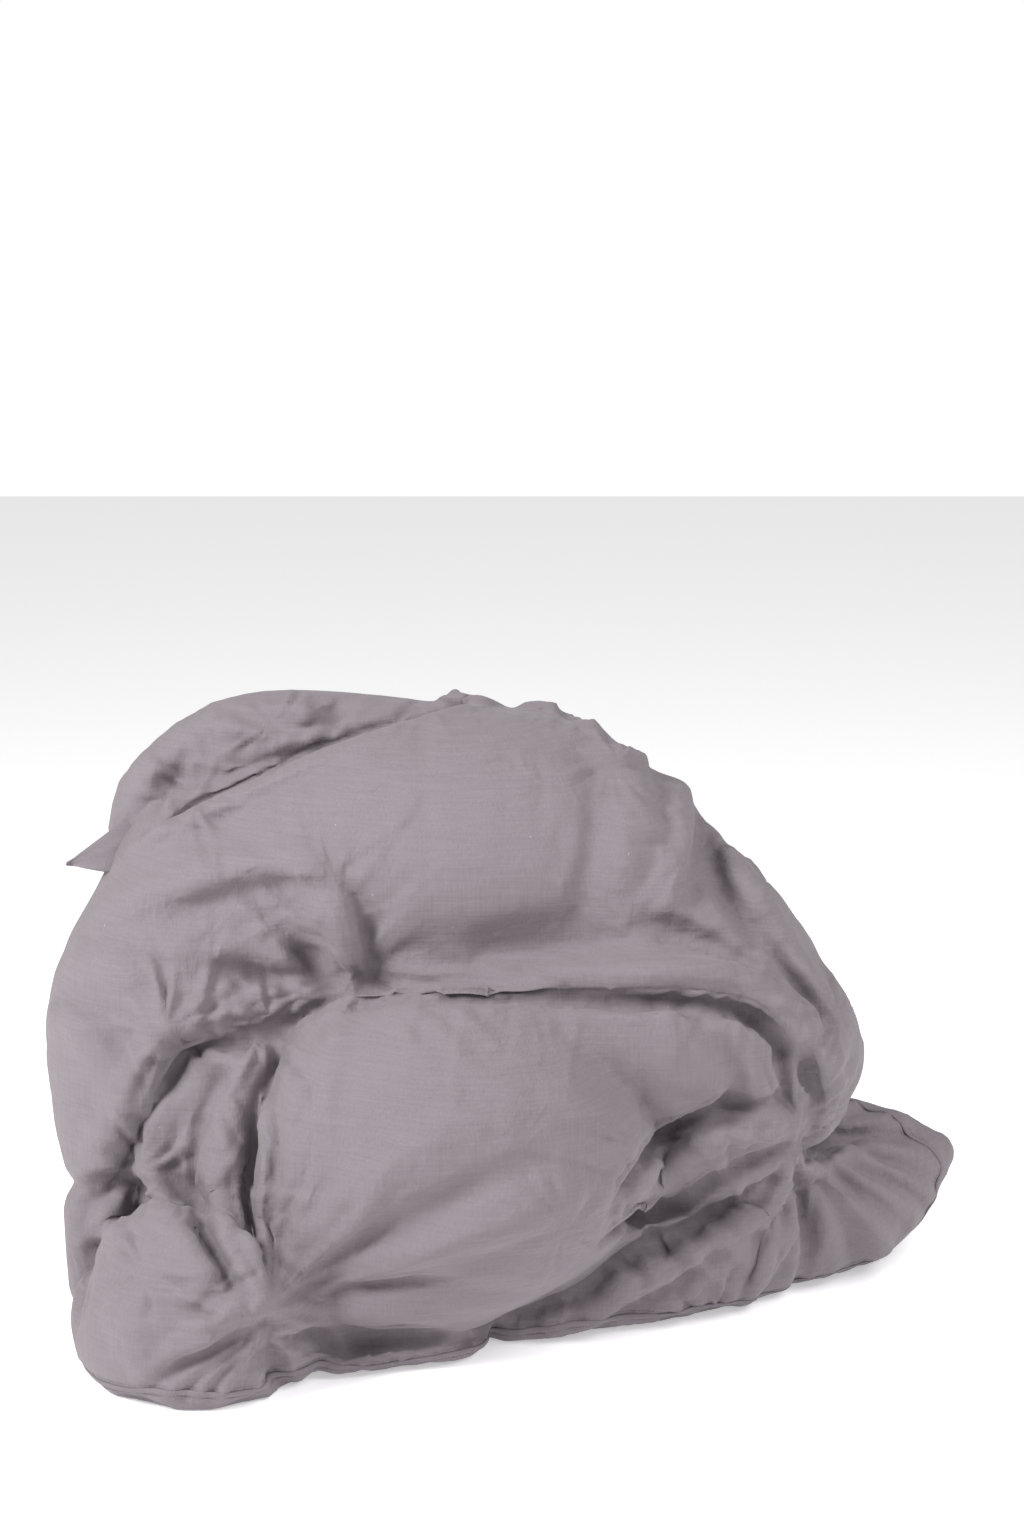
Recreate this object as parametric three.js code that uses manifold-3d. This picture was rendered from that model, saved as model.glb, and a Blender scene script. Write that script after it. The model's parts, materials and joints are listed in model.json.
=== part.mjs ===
// A king-size duvet in its buttoned cover, loosely folded into a heap that stands on the floor.
// The duvet is laid out flat first: every piece has a place along the length, a place across the width
// and a height above the back panel. One fold then carries all of them into the heap, five layers
// that run back and forth, so each piece keeps its neighbours. Millimetres, +Z up, -Y is the front.
import * as THREE from "three";
import { mergeVertices } from "three/addons/utils/BufferGeometryUtils.js";
import Module from "manifold-3d";

const wasm = await Module();
wasm.setup();

// ---- The fold -----------------------------------------------------------------------------------
const FLAT_LENGTH = 2640; // head seam to foot hem, along the cloth
const PITCH = 140; // one layer of the gathered duvet, with the air above it
const LAYER_AIR = 10; // between one layer and the next
const RUN_SHARES = [0.32, 0.205, 0.17, 0.153, 0.152]; // of the straight cloth, floor layer first
const BEND_STEPS = 6; // chords in each half-turn

// ---- The heap -----------------------------------------------------------------------------------
const HEAP_LEFT = 540; // how far the floor layer reaches to the left of the middle
const HEAP_RIGHT = 385;
const LEFT_DRAWN_IN = 100; // how much narrower the top layer is than the floor layer
const RIGHT_DRAWN_IN = 200;
const CORNER_REACH = 145; // the floor layer's right corner lies out past the layers above it
const CORNER_LENGTH = 650; // along the cloth, from the head seam to where that reach dies away
const FLOOR_SKEW = 80; // the floor layer's left end lies this far forward and its right end back
const SHOULDER_DROP = 0.14; // share of its height that the heap loses at its widest
const PLAN_ROUNDING = 0.2; // share of its depth that the heap loses at its widest

// ---- The sandwich, measured up from the back panel's outside -------------------------------------
const THICKNESS = PITCH - LAYER_AIR;
const END_SHARE = 0.12; // the duvet thins to this share of its thickness at head and foot
const END_TAPER = 180; // length over which it thins
const SIDE_SHARE = 0.4; // and to this share at its side seams
const SIDE_TAPER_FROM = 0.8; // from this share of the way out to them
const COVER_CLOTH = 2.2; // cover panel with its gathers
const TICKING_CLOTH = 1.6;
const COVER_EASE = 6; // clearance between cover and ticking at full thickness
const FILL_EASE = 5; // and between ticking and down
const INSERT_INSET = 75; // the insert stops this far short of head and foot
const INSERT_WIDTH_SHARE = 0.93;
const BAFFLE_GAP = 5; // between neighbouring down boxes
const BOX_ROWS = 6;
const BOX_COLUMNS = 5;

// ---- Shared facet edges: neighbours that bend together must be cut along the same lines -----------
const TAPER_STOPS = [0, INSERT_INSET / 2, INSERT_INSET, (INSERT_INSET + END_TAPER) / 2, END_TAPER];
const HALF_LINES = [0.25, 0.5, SIDE_TAPER_FROM, INSERT_WIDTH_SHARE, 1];
const ACROSS_LINES = [...HALF_LINES.map((line) => -line).reverse(), 0, ...HALF_LINES];

// ---- Seams, hems and small pieces ----------------------------------------------------------------
const SEAM_GAP = 2.5; // clearance between a panel's edge and the seam that closes it
const SEAM_WIDTH = 9;
const BINDING_WIDTH = 6;
const PLACKET_DEPTH = 58;
const PLACKET_CLOTH = 2.4;
const PLACKET_GAP = 1;
const BUTTON_COUNT = 7;
const BUTTON_RADIUS = 10;
const BUTTON_THICKNESS = 3;
const BUTTON_RIM = 0.7; // height of the raised rim
const THREAD_HOLE_RADIUS = 1.1;
const THREAD_HOLE_SPACING = 2.2; // hole to button centre, along x and y
const SHANK_GAP = 3; // length of the thread shank under a button
const BUTTONHOLE_LENGTH = 23;
const BUTTONHOLE_WIDTH = 2.6;
const RING_RADIUS = 5; // corner loops and ties
const RING_THICKNESS = 2;
const RING_LINK = 6.5; // distance between the centres of a loop and the tie through it
const RING_FROM_BINDING = 4;
const RING_ACROSS = 0.85; // share of the way out to the side seams
const FLAP_ROOT = 92; // the loose cover corner, along its root
const FLAP_REACH = 68;
const FLAP_CLOTH = 2.4;
const FLAP_DROOP = THREE.MathUtils.degToRad(19);
const FLAP_CLEARANCE = 6; // between the heap's seam and the corner's root

const PERCALE = new THREE.MeshStandardMaterial({ color: 0x968b93, roughness: 0.86, metalness: 0 });
const SEAM_CLOTH = new THREE.MeshStandardMaterial({ color: 0x8c8189, roughness: 0.88, metalness: 0 });
const TICKING = new THREE.MeshStandardMaterial({ color: 0xf2efe8, roughness: 0.8, metalness: 0 });
const DOWN = new THREE.MeshStandardMaterial({ color: 0xf7f5f0, roughness: 0.95, metalness: 0 });
const TWILL_TAPE = new THREE.MeshStandardMaterial({ color: 0xdedad2, roughness: 0.9, metalness: 0 });
const BUTTON_SHELL = new THREE.MeshStandardMaterial({ color: 0x8f858c, roughness: 0.35, metalness: 0 });

const duvet = new THREE.Group();

function add(name, geometry, material) {
  const mesh = new THREE.Mesh(geometry, material);
  mesh.name = name;
  duvet.add(mesh);
  return mesh;
}

// ---- Stations along the fold: where the cloth is, which way its face points, how thick and wide it is
const bendRadius = PITCH / 2;
const bendLength = Math.PI * bendRadius;
const straightLength = FLAT_LENGTH - (RUN_SHARES.length - 1) * bendLength;
const lastLayer = RUN_SHARES.length - 1;

function endShare(along) {
  const inward = Math.min(along, FLAT_LENGTH - along) / END_TAPER;
  return THREE.MathUtils.lerp(END_SHARE, 1, THREE.MathUtils.smoothstep(inward, 0, 1));
}

function sideShare(across) {
  const outward = (Math.abs(across) - SIDE_TAPER_FROM) / (1 - SIDE_TAPER_FROM);
  return THREE.MathUtils.lerp(1, SIDE_SHARE, THREE.MathUtils.clamp(outward, 0, 1));
}

function station(along, y, z, normalY, normalZ) {
  const high = (along / FLAT_LENGTH) ** 3;
  const corner = CORNER_REACH * Math.exp(-((along / CORNER_LENGTH) ** 2));
  return {
    along,
    y,
    z,
    normalY,
    normalZ,
    share: endShare(along),
    left: HEAP_LEFT - LEFT_DRAWN_IN * high,
    right: HEAP_RIGHT - RIGHT_DRAWN_IN * high + corner,
    skew: FLOOR_SKEW * Math.max(0, 1 - along / (RUN_SHARES[0] * straightLength)),
  };
}

function foldStations() {
  const stations = [];
  let along = 0;
  let y = 0;
  RUN_SHARES.forEach((share, layer) => {
    const way = layer % 2 ? -1 : 1;
    const run = share * straightLength;
    const z = layer * PITCH + THICKNESS / 2;
    let stops = [0];
    if (layer === 0) stops = TAPER_STOPS;
    if (layer === lastLayer) stops = [0, ...TAPER_STOPS.map((stop) => run - stop).reverse()];
    for (const stop of stops) stations.push(station(along + stop, y + way * stop, z, 0, way));
    along += run;
    y += way * run;
    if (layer === lastLayer) return;
    for (let i = 0; i < BEND_STEPS; i++) {
      const turn = Math.PI * (i / BEND_STEPS - 0.5);
      stations.push(
        station(
          along + bendLength * (i / BEND_STEPS),
          y + way * bendRadius * Math.cos(turn),
          z + bendRadius * (1 + Math.sin(turn)),
          -Math.cos(turn),
          -way * Math.sin(turn),
        ),
      );
    }
    along += bendLength;
  });
  return stations;
}

const stations = foldStations();
const lastStation = stations.length - 1;
const backmost = Math.max(...stations.map((s) => s.y)) + THICKNESS / 2;
const middleY = (backmost - FLOOR_SKEW) / 2;

// A place between two stations, or on the straight line past either end.
function onFold(index) {
  const i = THREE.MathUtils.clamp(Math.floor(index), 0, lastStation - 1);
  const found = {};
  for (const key of Object.keys(stations[i])) {
    found[key] = stations[i][key] + (index - i) * (stations[i + 1][key] - stations[i][key]);
  }
  found.share = THREE.MathUtils.clamp(found.share, END_SHARE, 1);
  return found;
}

// The station number of a length along the cloth.
function indexOf(along) {
  let i = 0;
  while (i < lastStation - 1 && stations[i + 1].along <= along) i++;
  return i + (along - stations[i].along) / (stations[i + 1].along - stations[i].along);
}

// across runs from -1 at the left seam to 1 at the right one.
function folded(index, across, height) {
  const place = onFold(index);
  const lift = height - THICKNESS / 2;
  const x = THREE.MathUtils.lerp(-place.left, place.right, (across + 1) / 2);
  const spread = x / HEAP_LEFT;
  const y = place.y - middleY + place.normalY * lift + place.skew * spread;
  const z = place.z + place.normalZ * lift;
  return new THREE.Vector3(x, y * (1 - PLAN_ROUNDING * spread ** 2), z * (1 - SHOULDER_DROP * spread ** 2));
}

function halfWidth(index) {
  const place = onFold(index);
  return (place.left + place.right) / 2;
}

// The facet edges of a block: its own two ends and the shared lines between them.
function linesBetween(from, to, lines) {
  return [from, ...lines.filter((line) => line > from && line < to), to];
}

// A box's opposite sides get the same diagonals, so that neighbours' facets lie face to face.
function matchDiagonals(box) {
  const corners = box.index;
  for (const side of [1, 3, 5]) {
    const { start, count } = box.groups[side];
    for (let i = start; i < start + count; i += 6) {
      corners.setX(i + 2, corners.getX(i + 4));
      corners.setX(i + 3, corners.getX(i));
    }
  }
}

// A block of the flat sandwich, carried into the heap. under and over give its two heights from the
// share of the full thickness that is left there; outs move its left and right ends, in mm.
function foldedBlock({ from, to, left = -1, right = 1, under, over, outs = [0, 0] }) {
  const indices = linesBetween(from, to, stations.map((_, i) => i));
  const acrosses = left === right ? [left, right] : linesBetween(left, right, ACROSS_LINES);
  const block = new THREE.BoxGeometry(1, 1, 1, acrosses.length - 1, indices.length - 1, 1);
  matchDiagonals(block);
  block.deleteAttribute("normal");
  block.deleteAttribute("uv");
  const points = block.getAttribute("position");
  for (let i = 0; i < points.count; i++) {
    const sideways = points.getX(i) + 0.5;
    const index = indices[Math.round((points.getY(i) + 0.5) * (indices.length - 1))];
    const line = Math.round(sideways * (acrosses.length - 1));
    const out = sideways === 0 ? outs[0] : sideways === 1 ? outs[1] : 0;
    const across = acrosses[line] + out / halfWidth(index);
    const share = onFold(index).share * sideShare(across);
    const place = folded(index, across, points.getZ(i) > 0 ? over(share) : under(share));
    points.setXYZ(i, place.x, place.y, place.z);
  }
  return mergeVertices(block);
}

// The place and turn of a small piece that sits on the cloth: its z axis stands on the cloth.
function sitOn(mesh, index, across, height) {
  const here = folded(index, across, height);
  const along = folded(index + 0.01, across, height).sub(here).normalize();
  const sideways = folded(index, across + 0.01, height).sub(here);
  const up = sideways.clone().cross(along).normalize();
  sideways.crossVectors(along, up);
  mesh.position.copy(here);
  mesh.quaternion.setFromRotationMatrix(new THREE.Matrix4().makeBasis(sideways, along, up));
  return mesh;
}

function solidOf(geometry) {
  const bare = new THREE.BufferGeometry();
  bare.setAttribute("position", geometry.getAttribute("position"));
  if (geometry.index) bare.setIndex(geometry.index);
  const merged = mergeVertices(bare);
  return new wasm.Manifold(
    new wasm.Mesh({
      numProp: 3,
      vertProperties: new Float32Array(merged.getAttribute("position").array),
      triVerts: new Uint32Array(merged.index.array),
    }),
  );
}

function geometryOf(solid) {
  const { vertProperties, triVerts } = solid.getMesh();
  const geometry = new THREE.BufferGeometry();
  geometry.setAttribute("position", new THREE.BufferAttribute(new Float32Array(vertProperties), 3));
  geometry.setIndex(new THREE.BufferAttribute(new Uint32Array(triVerts), 1));
  return geometry;
}

// ---- Cover ---------------------------------------------------------------------------------------
function coverPanels() {
  const whole = { from: 0, to: lastStation };
  const back = foldedBlock({ ...whole, under: () => 0, over: () => COVER_CLOTH });
  const face = foldedBlock({
    ...whole,
    under: (share) => THICKNESS * share - COVER_CLOTH,
    over: (share) => THICKNESS * share,
  });
  add("cover_back_panel", back, PERCALE);
  add("cover_face_panel", face, PERCALE);
}

function coverSeams() {
  const closed = { under: () => 0, over: (share) => THICKNESS * share };
  for (const [name, edge, inner, outer] of [
    ["side_seam_left", -1, -SEAM_GAP, -SEAM_GAP - SEAM_WIDTH],
    ["side_seam_right", 1, SEAM_GAP, SEAM_GAP + SEAM_WIDTH],
  ]) {
    const outs = [Math.min(inner, outer), Math.max(inner, outer)];
    add(name, foldedBlock({ from: 0, to: lastStation, left: edge, right: edge, ...closed, outs }), SEAM_CLOTH);
  }
  const head = { from: indexOf(-SEAM_GAP - SEAM_WIDTH), to: indexOf(-SEAM_GAP) };
  add("head_seam", foldedBlock({ ...head, ...closed }), SEAM_CLOTH);
}

// The foot of the cover closes with two hemmed bands, one over the other, and a row of buttons.
const placketFrom = indexOf(FLAT_LENGTH + SEAM_GAP);
const placketTo = indexOf(FLAT_LENGTH + SEAM_GAP + PLACKET_DEPTH);
const placketMiddle = (placketFrom + placketTo) / 2;
const overHeight = PLACKET_CLOTH + PLACKET_GAP;

function buttonPlaces() {
  return Array.from({ length: BUTTON_COUNT }, (_, i) => -1 + (2 * i + 1) / BUTTON_COUNT);
}

function plackets() {
  const band = { from: placketFrom, to: placketTo };
  add("placket_under", foldedBlock({ ...band, under: () => 0, over: () => PLACKET_CLOTH }), SEAM_CLOTH);
  const over = { under: () => overHeight, over: () => overHeight + PLACKET_CLOTH };
  let solid = solidOf(foldedBlock({ ...band, ...over }));
  for (const across of buttonPlaces()) {
    const slot = new THREE.Mesh(new THREE.BoxGeometry(BUTTONHOLE_LENGTH, BUTTONHOLE_WIDTH, 4 * PLACKET_CLOTH));
    sitOn(slot, placketMiddle, across, overHeight + PLACKET_CLOTH / 2);
    slot.updateMatrix();
    solid = solid.subtract(solidOf(slot.geometry.applyMatrix4(slot.matrix)));
  }
  add("placket_over", geometryOf(solid), SEAM_CLOTH);
}

function buttonGeometry() {
  const outline = new THREE.Shape();
  outline.absarc(0, 0, BUTTON_RADIUS, 0, 2 * Math.PI);
  for (const x of [-THREAD_HOLE_SPACING, THREAD_HOLE_SPACING]) {
    for (const y of [-THREAD_HOLE_SPACING, THREAD_HOLE_SPACING]) {
      const hole = new THREE.Path();
      hole.absarc(x, y, THREAD_HOLE_RADIUS, 0, 2 * Math.PI, true);
      outline.holes.push(hole);
    }
  }
  const disc = new THREE.ExtrudeGeometry(outline, {
    depth: BUTTON_THICKNESS,
    bevelEnabled: false,
    curveSegments: 12,
  });
  disc.deleteAttribute("normal");
  disc.deleteAttribute("uv");
  disc.translate(0, 0, -BUTTON_THICKNESS / 2);
  const dish = new THREE.CylinderGeometry(BUTTON_RADIUS - 2, BUTTON_RADIUS - 3, 2 * BUTTON_RIM, 24);
  dish.rotateX(Math.PI / 2);
  dish.translate(0, 0, BUTTON_THICKNESS / 2);
  return geometryOf(solidOf(disc).subtract(solidOf(dish)));
}

function buttons() {
  const height = overHeight + PLACKET_CLOTH + SHANK_GAP + BUTTON_THICKNESS / 2;
  const geometry = buttonGeometry();
  buttonPlaces().forEach((across, i) => {
    sitOn(add(`button_${i + 1}`, geometry, BUTTON_SHELL), placketMiddle, across, height);
  });
}

// An empty corner of the cover that sticks out past the folded layers on the left.
function looseCorner() {
  const index = indexOf(FLAT_LENGTH - END_TAPER);
  const out = (SEAM_GAP + SEAM_WIDTH + FLAP_CLEARANCE) / halfWidth(index);
  const outline = new THREE.Shape();
  outline.moveTo(0, -FLAP_ROOT / 2);
  outline.quadraticCurveTo(-FLAP_REACH * 0.6, -FLAP_ROOT * 0.3, -FLAP_REACH, 0);
  outline.quadraticCurveTo(-FLAP_REACH * 0.6, FLAP_ROOT * 0.22, 0, FLAP_ROOT / 2);
  const cloth = new THREE.ExtrudeGeometry(outline, { depth: FLAP_CLOTH, bevelEnabled: false, curveSegments: 5 });
  const flap = add("loose_corner", cloth, PERCALE);
  flap.position.copy(folded(index, -1 - out, THICKNESS * SIDE_SHARE));
  flap.rotation.y = -FLAP_DROOP;
}

// ---- Insert --------------------------------------------------------------------------------------
const insertFrom = indexOf(INSERT_INSET);
const insertTo = indexOf(FLAT_LENGTH - INSERT_INSET);
const insertSides = { left: -INSERT_WIDTH_SHARE, right: INSERT_WIDTH_SHARE };
const insertUnder = (share) => COVER_CLOTH + COVER_EASE * share;
const insertOver = (share) => THICKNESS * share - insertUnder(share);

function ticking() {
  const whole = { ...insertSides, from: insertFrom, to: insertTo };
  const back = { under: insertUnder, over: (share) => insertUnder(share) + TICKING_CLOTH };
  const face = { under: (share) => insertOver(share) - TICKING_CLOTH, over: insertOver };
  add("ticking_back", foldedBlock({ ...whole, ...back }), TICKING);
  add("ticking_face", foldedBlock({ ...whole, ...face }), TICKING);
}

function bindings() {
  const closed = {
    under: (share) => insertUnder(share) + TICKING_CLOTH,
    over: (share) => insertOver(share) - TICKING_CLOTH,
  };
  for (const [name, side] of [
    ["binding_left", -1],
    ["binding_right", 1],
  ]) {
    const edge = side * INSERT_WIDTH_SHARE;
    const outs = [side * SEAM_GAP, side * (SEAM_GAP + BINDING_WIDTH)].sort((a, b) => a - b);
    const run = { from: insertFrom, to: insertTo, left: edge, right: edge };
    add(name, foldedBlock({ ...run, ...closed, outs }), TWILL_TAPE);
  }
  const head = { from: indexOf(INSERT_INSET - SEAM_GAP - BINDING_WIDTH), to: indexOf(INSERT_INSET - SEAM_GAP) };
  const footStart = FLAT_LENGTH - INSERT_INSET + SEAM_GAP;
  const foot = { from: indexOf(footStart), to: indexOf(footStart + BINDING_WIDTH) };
  add("binding_head", foldedBlock({ ...head, ...closed, ...insertSides }), TWILL_TAPE);
  add("binding_foot", foldedBlock({ ...foot, ...closed, ...insertSides }), TWILL_TAPE);
}

// Baffle walls split the insert into boxes of down, which can't shift from one box to the next.
function downBoxes() {
  const length = (FLAT_LENGTH - 2 * INSERT_INSET) / BOX_ROWS;
  const width = (2 * INSERT_WIDTH_SHARE) / BOX_COLUMNS;
  const around = (share) => TICKING_CLOTH + FILL_EASE * share;
  const heights = {
    under: (share) => insertUnder(share) + around(share),
    over: (share) => insertOver(share) - around(share),
  };
  for (let row = 0; row < BOX_ROWS; row++) {
    const start = INSERT_INSET + row * length;
    const from = indexOf(start + BAFFLE_GAP / 2);
    const to = indexOf(start + length - BAFFLE_GAP / 2);
    for (let column = 0; column < BOX_COLUMNS; column++) {
      const left = -INSERT_WIDTH_SHARE + column * width;
      const sides = { left, right: left + width, outs: [BAFFLE_GAP / 2, -BAFFLE_GAP / 2] };
      const name = `down_box_${row + 1}_${column + 1}`;
      add(name, foldedBlock({ from, to, ...sides, ...heights }), DOWN);
    }
  }
}

// A loop on each corner of the insert, with a tie from the cover's corner through it.
function cornerLinks() {
  const ring = new THREE.TorusGeometry(RING_RADIUS, RING_THICKNESS / 2, 5, 10);
  const loopFrom = INSERT_INSET - SEAM_GAP - BINDING_WIDTH - RING_FROM_BINDING - RING_RADIUS - RING_THICKNESS / 2;
  const ends = [
    ["head", loopFrom, -RING_LINK],
    ["foot", FLAT_LENGTH - loopFrom, RING_LINK],
  ];
  for (const [end, at, link] of ends) {
    const share = onFold(indexOf(at + link)).share * sideShare(RING_ACROSS);
    const height = (THICKNESS * share) / 2;
    for (const [side, across] of [
      ["left", -RING_ACROSS],
      ["right", RING_ACROSS],
    ]) {
      const loop = sitOn(add(`corner_loop_${end}_${side}`, ring, TWILL_TAPE), indexOf(at), across, height);
      loop.rotateY(Math.PI / 2);
      sitOn(add(`corner_tie_${end}_${side}`, ring, TWILL_TAPE), indexOf(at + link), across, height);
    }
  }
}

// The origin is under the middle of the heap, on the floor.
function centre() {
  const bounds = new THREE.Box3().setFromObject(duvet, true);
  const middle = bounds.getCenter(new THREE.Vector3());
  for (const piece of duvet.children) piece.position.sub(new THREE.Vector3(middle.x, middle.y, bounds.min.z));
}

coverPanels();
coverSeams();
plackets();
buttons();
looseCorner();
ticking();
bindings();
downBoxes();
cornerLinks();
centre();

export default duvet;
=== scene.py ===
"""A duvet in its buttoned cover, lying in a soft heap: cover, seams, placket, insert, floor and camera."""

import json
import math
import random

import bmesh
import bpy
import numpy as np
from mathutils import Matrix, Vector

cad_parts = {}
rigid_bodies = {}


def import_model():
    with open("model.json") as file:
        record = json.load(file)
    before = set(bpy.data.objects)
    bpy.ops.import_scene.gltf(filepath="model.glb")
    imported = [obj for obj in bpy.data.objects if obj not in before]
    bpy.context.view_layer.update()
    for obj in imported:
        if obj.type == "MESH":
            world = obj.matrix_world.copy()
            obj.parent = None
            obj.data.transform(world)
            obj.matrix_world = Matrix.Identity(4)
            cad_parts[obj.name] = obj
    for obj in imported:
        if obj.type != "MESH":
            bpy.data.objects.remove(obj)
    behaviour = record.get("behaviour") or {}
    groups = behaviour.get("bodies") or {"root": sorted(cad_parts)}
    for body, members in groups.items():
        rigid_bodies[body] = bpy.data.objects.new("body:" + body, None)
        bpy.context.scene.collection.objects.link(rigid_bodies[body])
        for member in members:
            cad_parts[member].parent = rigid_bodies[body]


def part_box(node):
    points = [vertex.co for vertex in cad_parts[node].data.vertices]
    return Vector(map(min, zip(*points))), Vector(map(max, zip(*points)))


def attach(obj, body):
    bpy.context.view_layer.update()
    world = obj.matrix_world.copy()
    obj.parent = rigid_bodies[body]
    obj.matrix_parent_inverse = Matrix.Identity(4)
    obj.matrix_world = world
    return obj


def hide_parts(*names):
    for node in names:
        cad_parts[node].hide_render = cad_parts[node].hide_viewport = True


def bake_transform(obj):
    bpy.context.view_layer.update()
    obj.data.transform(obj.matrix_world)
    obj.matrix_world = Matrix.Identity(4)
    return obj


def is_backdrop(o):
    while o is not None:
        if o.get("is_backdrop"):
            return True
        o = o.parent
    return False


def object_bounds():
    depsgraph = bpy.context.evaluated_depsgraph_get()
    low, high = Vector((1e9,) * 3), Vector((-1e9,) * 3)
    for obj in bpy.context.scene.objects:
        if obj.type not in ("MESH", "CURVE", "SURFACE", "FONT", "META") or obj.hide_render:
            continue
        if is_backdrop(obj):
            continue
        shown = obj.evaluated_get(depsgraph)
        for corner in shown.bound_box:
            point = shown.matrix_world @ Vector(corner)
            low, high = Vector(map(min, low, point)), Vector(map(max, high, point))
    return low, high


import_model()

import openvdb
from bpy.props import FloatProperty, FloatVectorProperty, IntProperty, PointerProperty
from mathutils import Matrix, Vector, noise
from mathutils.bvhtree import BVHTree

bl_info = {
    "name": "Heaped duvet",
    "version": (1, 0, 0),
    "blender": (4, 5, 0),
    "location": "3D View > Sidebar > Duvet",
    "description": "Makes a duvet in its buttoned cover, lying in a soft heap",
    "category": "Add Mesh",
}

CAD_LOW, CAD_HIGH = (Vector(corner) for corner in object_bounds())
HALF_WIDTH = (CAD_HIGH.x - CAD_LOW.x) / 2
FRONT = -CAD_LOW.y
BACK = CAD_HIGH.y
TOP = CAD_HIGH.z

# The folds are laid out as they are seen from the front, from a little above. Each is given by its
# width, its height or depth, the width of the soft crease beside it, and places across and up the view.
SIGHT_TILT = math.radians(18)
UP_Y = math.sin(SIGHT_TILT)
UP_Z = math.cos(SIGHT_TILT)
SIGHT_REACH = 1.6
SIGHT_STEP = 0.003
SIGHT_START = 0.7

# A hidden piece is drawn in towards this place in the heap.
MIDDLE = np.array([-0.04, 0.05, 0.28])
ROOM_TURNS = 120
ROOM_RISES = 61
FREE_SHARE = 0.5

# How far under the cover the room for hidden pieces ends.
COVER_MARGIN = 0.018

BUTTONS = 7
BOX_ROWS = 6
BOX_COLUMNS = 5
# Width of one small pleat that runs off a crease.
GATHER_WIDTH = 0.0085
# A stitch is lifted off the cloth by this share of its thread.
THREAD_LIFT = 0.3
# A button's holes lie at this share of its radius.
HOLE_SHARE = 0.24
# A buttonhole's half length as a share of the button's radius, and its half width.
HOLE_LENGTH = 1.35
HOLE_WIDTH = 0.0026
# Edges of a button that turn by more than this many degrees stay hard.
HARD_EDGE = 40

FLOOR_WIDTH = 12.0
# Height that the lights and the camera aim at, and the room left over the heap in the view.
AIM_HEIGHT = 0.33
HEADROOM = 0.302
# Name, place, width and power of each soft light.
SOFT_LIGHTS = (
    ("window", (-2.2, -1.4, 2.0), 1.0, 100),
    ("fill", (1.8, -1.2, 2.6), 2.0, 76),
)


# ---------------------------------------------------------------- sizes and colours


class HeapSizes(bpy.types.PropertyGroup):
    """Sizes of the heap and of its folds."""

    detail: FloatProperty(
        name="Detail",
        description="Distance between the points of the cover's cloth before it is made finer",
        default=0.0075,
        unit="LENGTH",
    )
    fold_depth: FloatProperty(
        name="Fold depth",
        description="How strongly the folds stand out, 1 for the usual heap",
        default=1.0,
    )
    spare_cloth: FloatProperty(
        name="Spare cloth",
        description="Share by which the cover's cloth grows as it settles, which makes its small wrinkles",
        default=0.035,
        subtype="FACTOR",
    )
    settle_limit: FloatProperty(
        name="Settling limit",
        description="The furthest that a point of the cover moves as it settles",
        default=0.010,
        unit="LENGTH",
    )
    settle_frames: IntProperty(
        name="Settling time",
        description="Steps for which the cover's cloth settles",
        default=12,
    )


class ClothColours(bpy.types.PropertyGroup):
    """Colours of the cloths and buttons."""

    cover: FloatVectorProperty(
        name="Cover",
        description="Colour of the cover's percale",
        subtype="COLOR",
        default=(0.188, 0.162, 0.179),
    )
    thread: FloatVectorProperty(
        name="Thread",
        description="Colour of the sewing thread",
        subtype="COLOR",
        default=(0.155, 0.132, 0.147),
    )
    ticking: FloatVectorProperty(
        name="Ticking",
        description="Colour of the insert's ticking",
        subtype="COLOR",
        default=(0.89, 0.86, 0.80),
    )
    down: FloatVectorProperty(
        name="Down", description="Colour of the down", subtype="COLOR", default=(0.93, 0.91, 0.87)
    )
    tape: FloatVectorProperty(
        name="Tape",
        description="Colour of the bindings, loops and ties",
        subtype="COLOR",
        default=(0.73, 0.70, 0.64),
    )
    button: FloatVectorProperty(
        name="Button", description="Colour of the shell buttons", subtype="COLOR", default=(0.30, 0.26, 0.29)
    )


class SewingSizes(bpy.types.PropertyGroup):
    """Sizes of the seams, stitches and buttons."""

    seam_width: FloatProperty(
        name="Seam width", description="Width of a seam's welt", default=0.007, unit="LENGTH",
    )
    seam_height: FloatProperty(
        name="Seam height", description="Height of a seam's welt", default=0.0036, unit="LENGTH",
    )
    stitch_length: FloatProperty(
        name="Stitch length", description="Length of one stitch", default=0.0028, unit="LENGTH"
    )
    stitch_spacing: FloatProperty(
        name="Stitch spacing", description="Distance from stitch to stitch", default=0.0042, unit="LENGTH"
    )
    thread_thickness: FloatProperty(
        name="Thread thickness", description="Thickness of the sewing thread", default=0.0007, unit="LENGTH"
    )
    button_height: FloatProperty(
        name="Button height", description="Thickness of a button at its rim", default=0.0032, unit="LENGTH"
    )


class StageSizes(bpy.types.PropertyGroup):
    """Sizes of the floor, lights and camera."""

    floor_colour: FloatVectorProperty(
        name="Floor", description="Colour of the floor", subtype="COLOR", default=(0.93, 0.93, 0.935)
    )
    sky_strength: FloatProperty(name="Sky", description="Strength of the light from all round", default=0.40)
    camera_distance: FloatProperty(
        name="Camera distance", description="Distance from the camera to the heap", default=4.0, unit="LENGTH"
    )
    view_width: FloatProperty(
        name="View width",
        description="Width that the camera takes in at the heap",
        default=1.215,
        unit="LENGTH",
    )


def sizes(group):
    """The sizes or colours of one kind that are set in the file."""
    return getattr(bpy.context.scene, "duvet_" + group)


# ---------------------------------------------------------------- meshes


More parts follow.
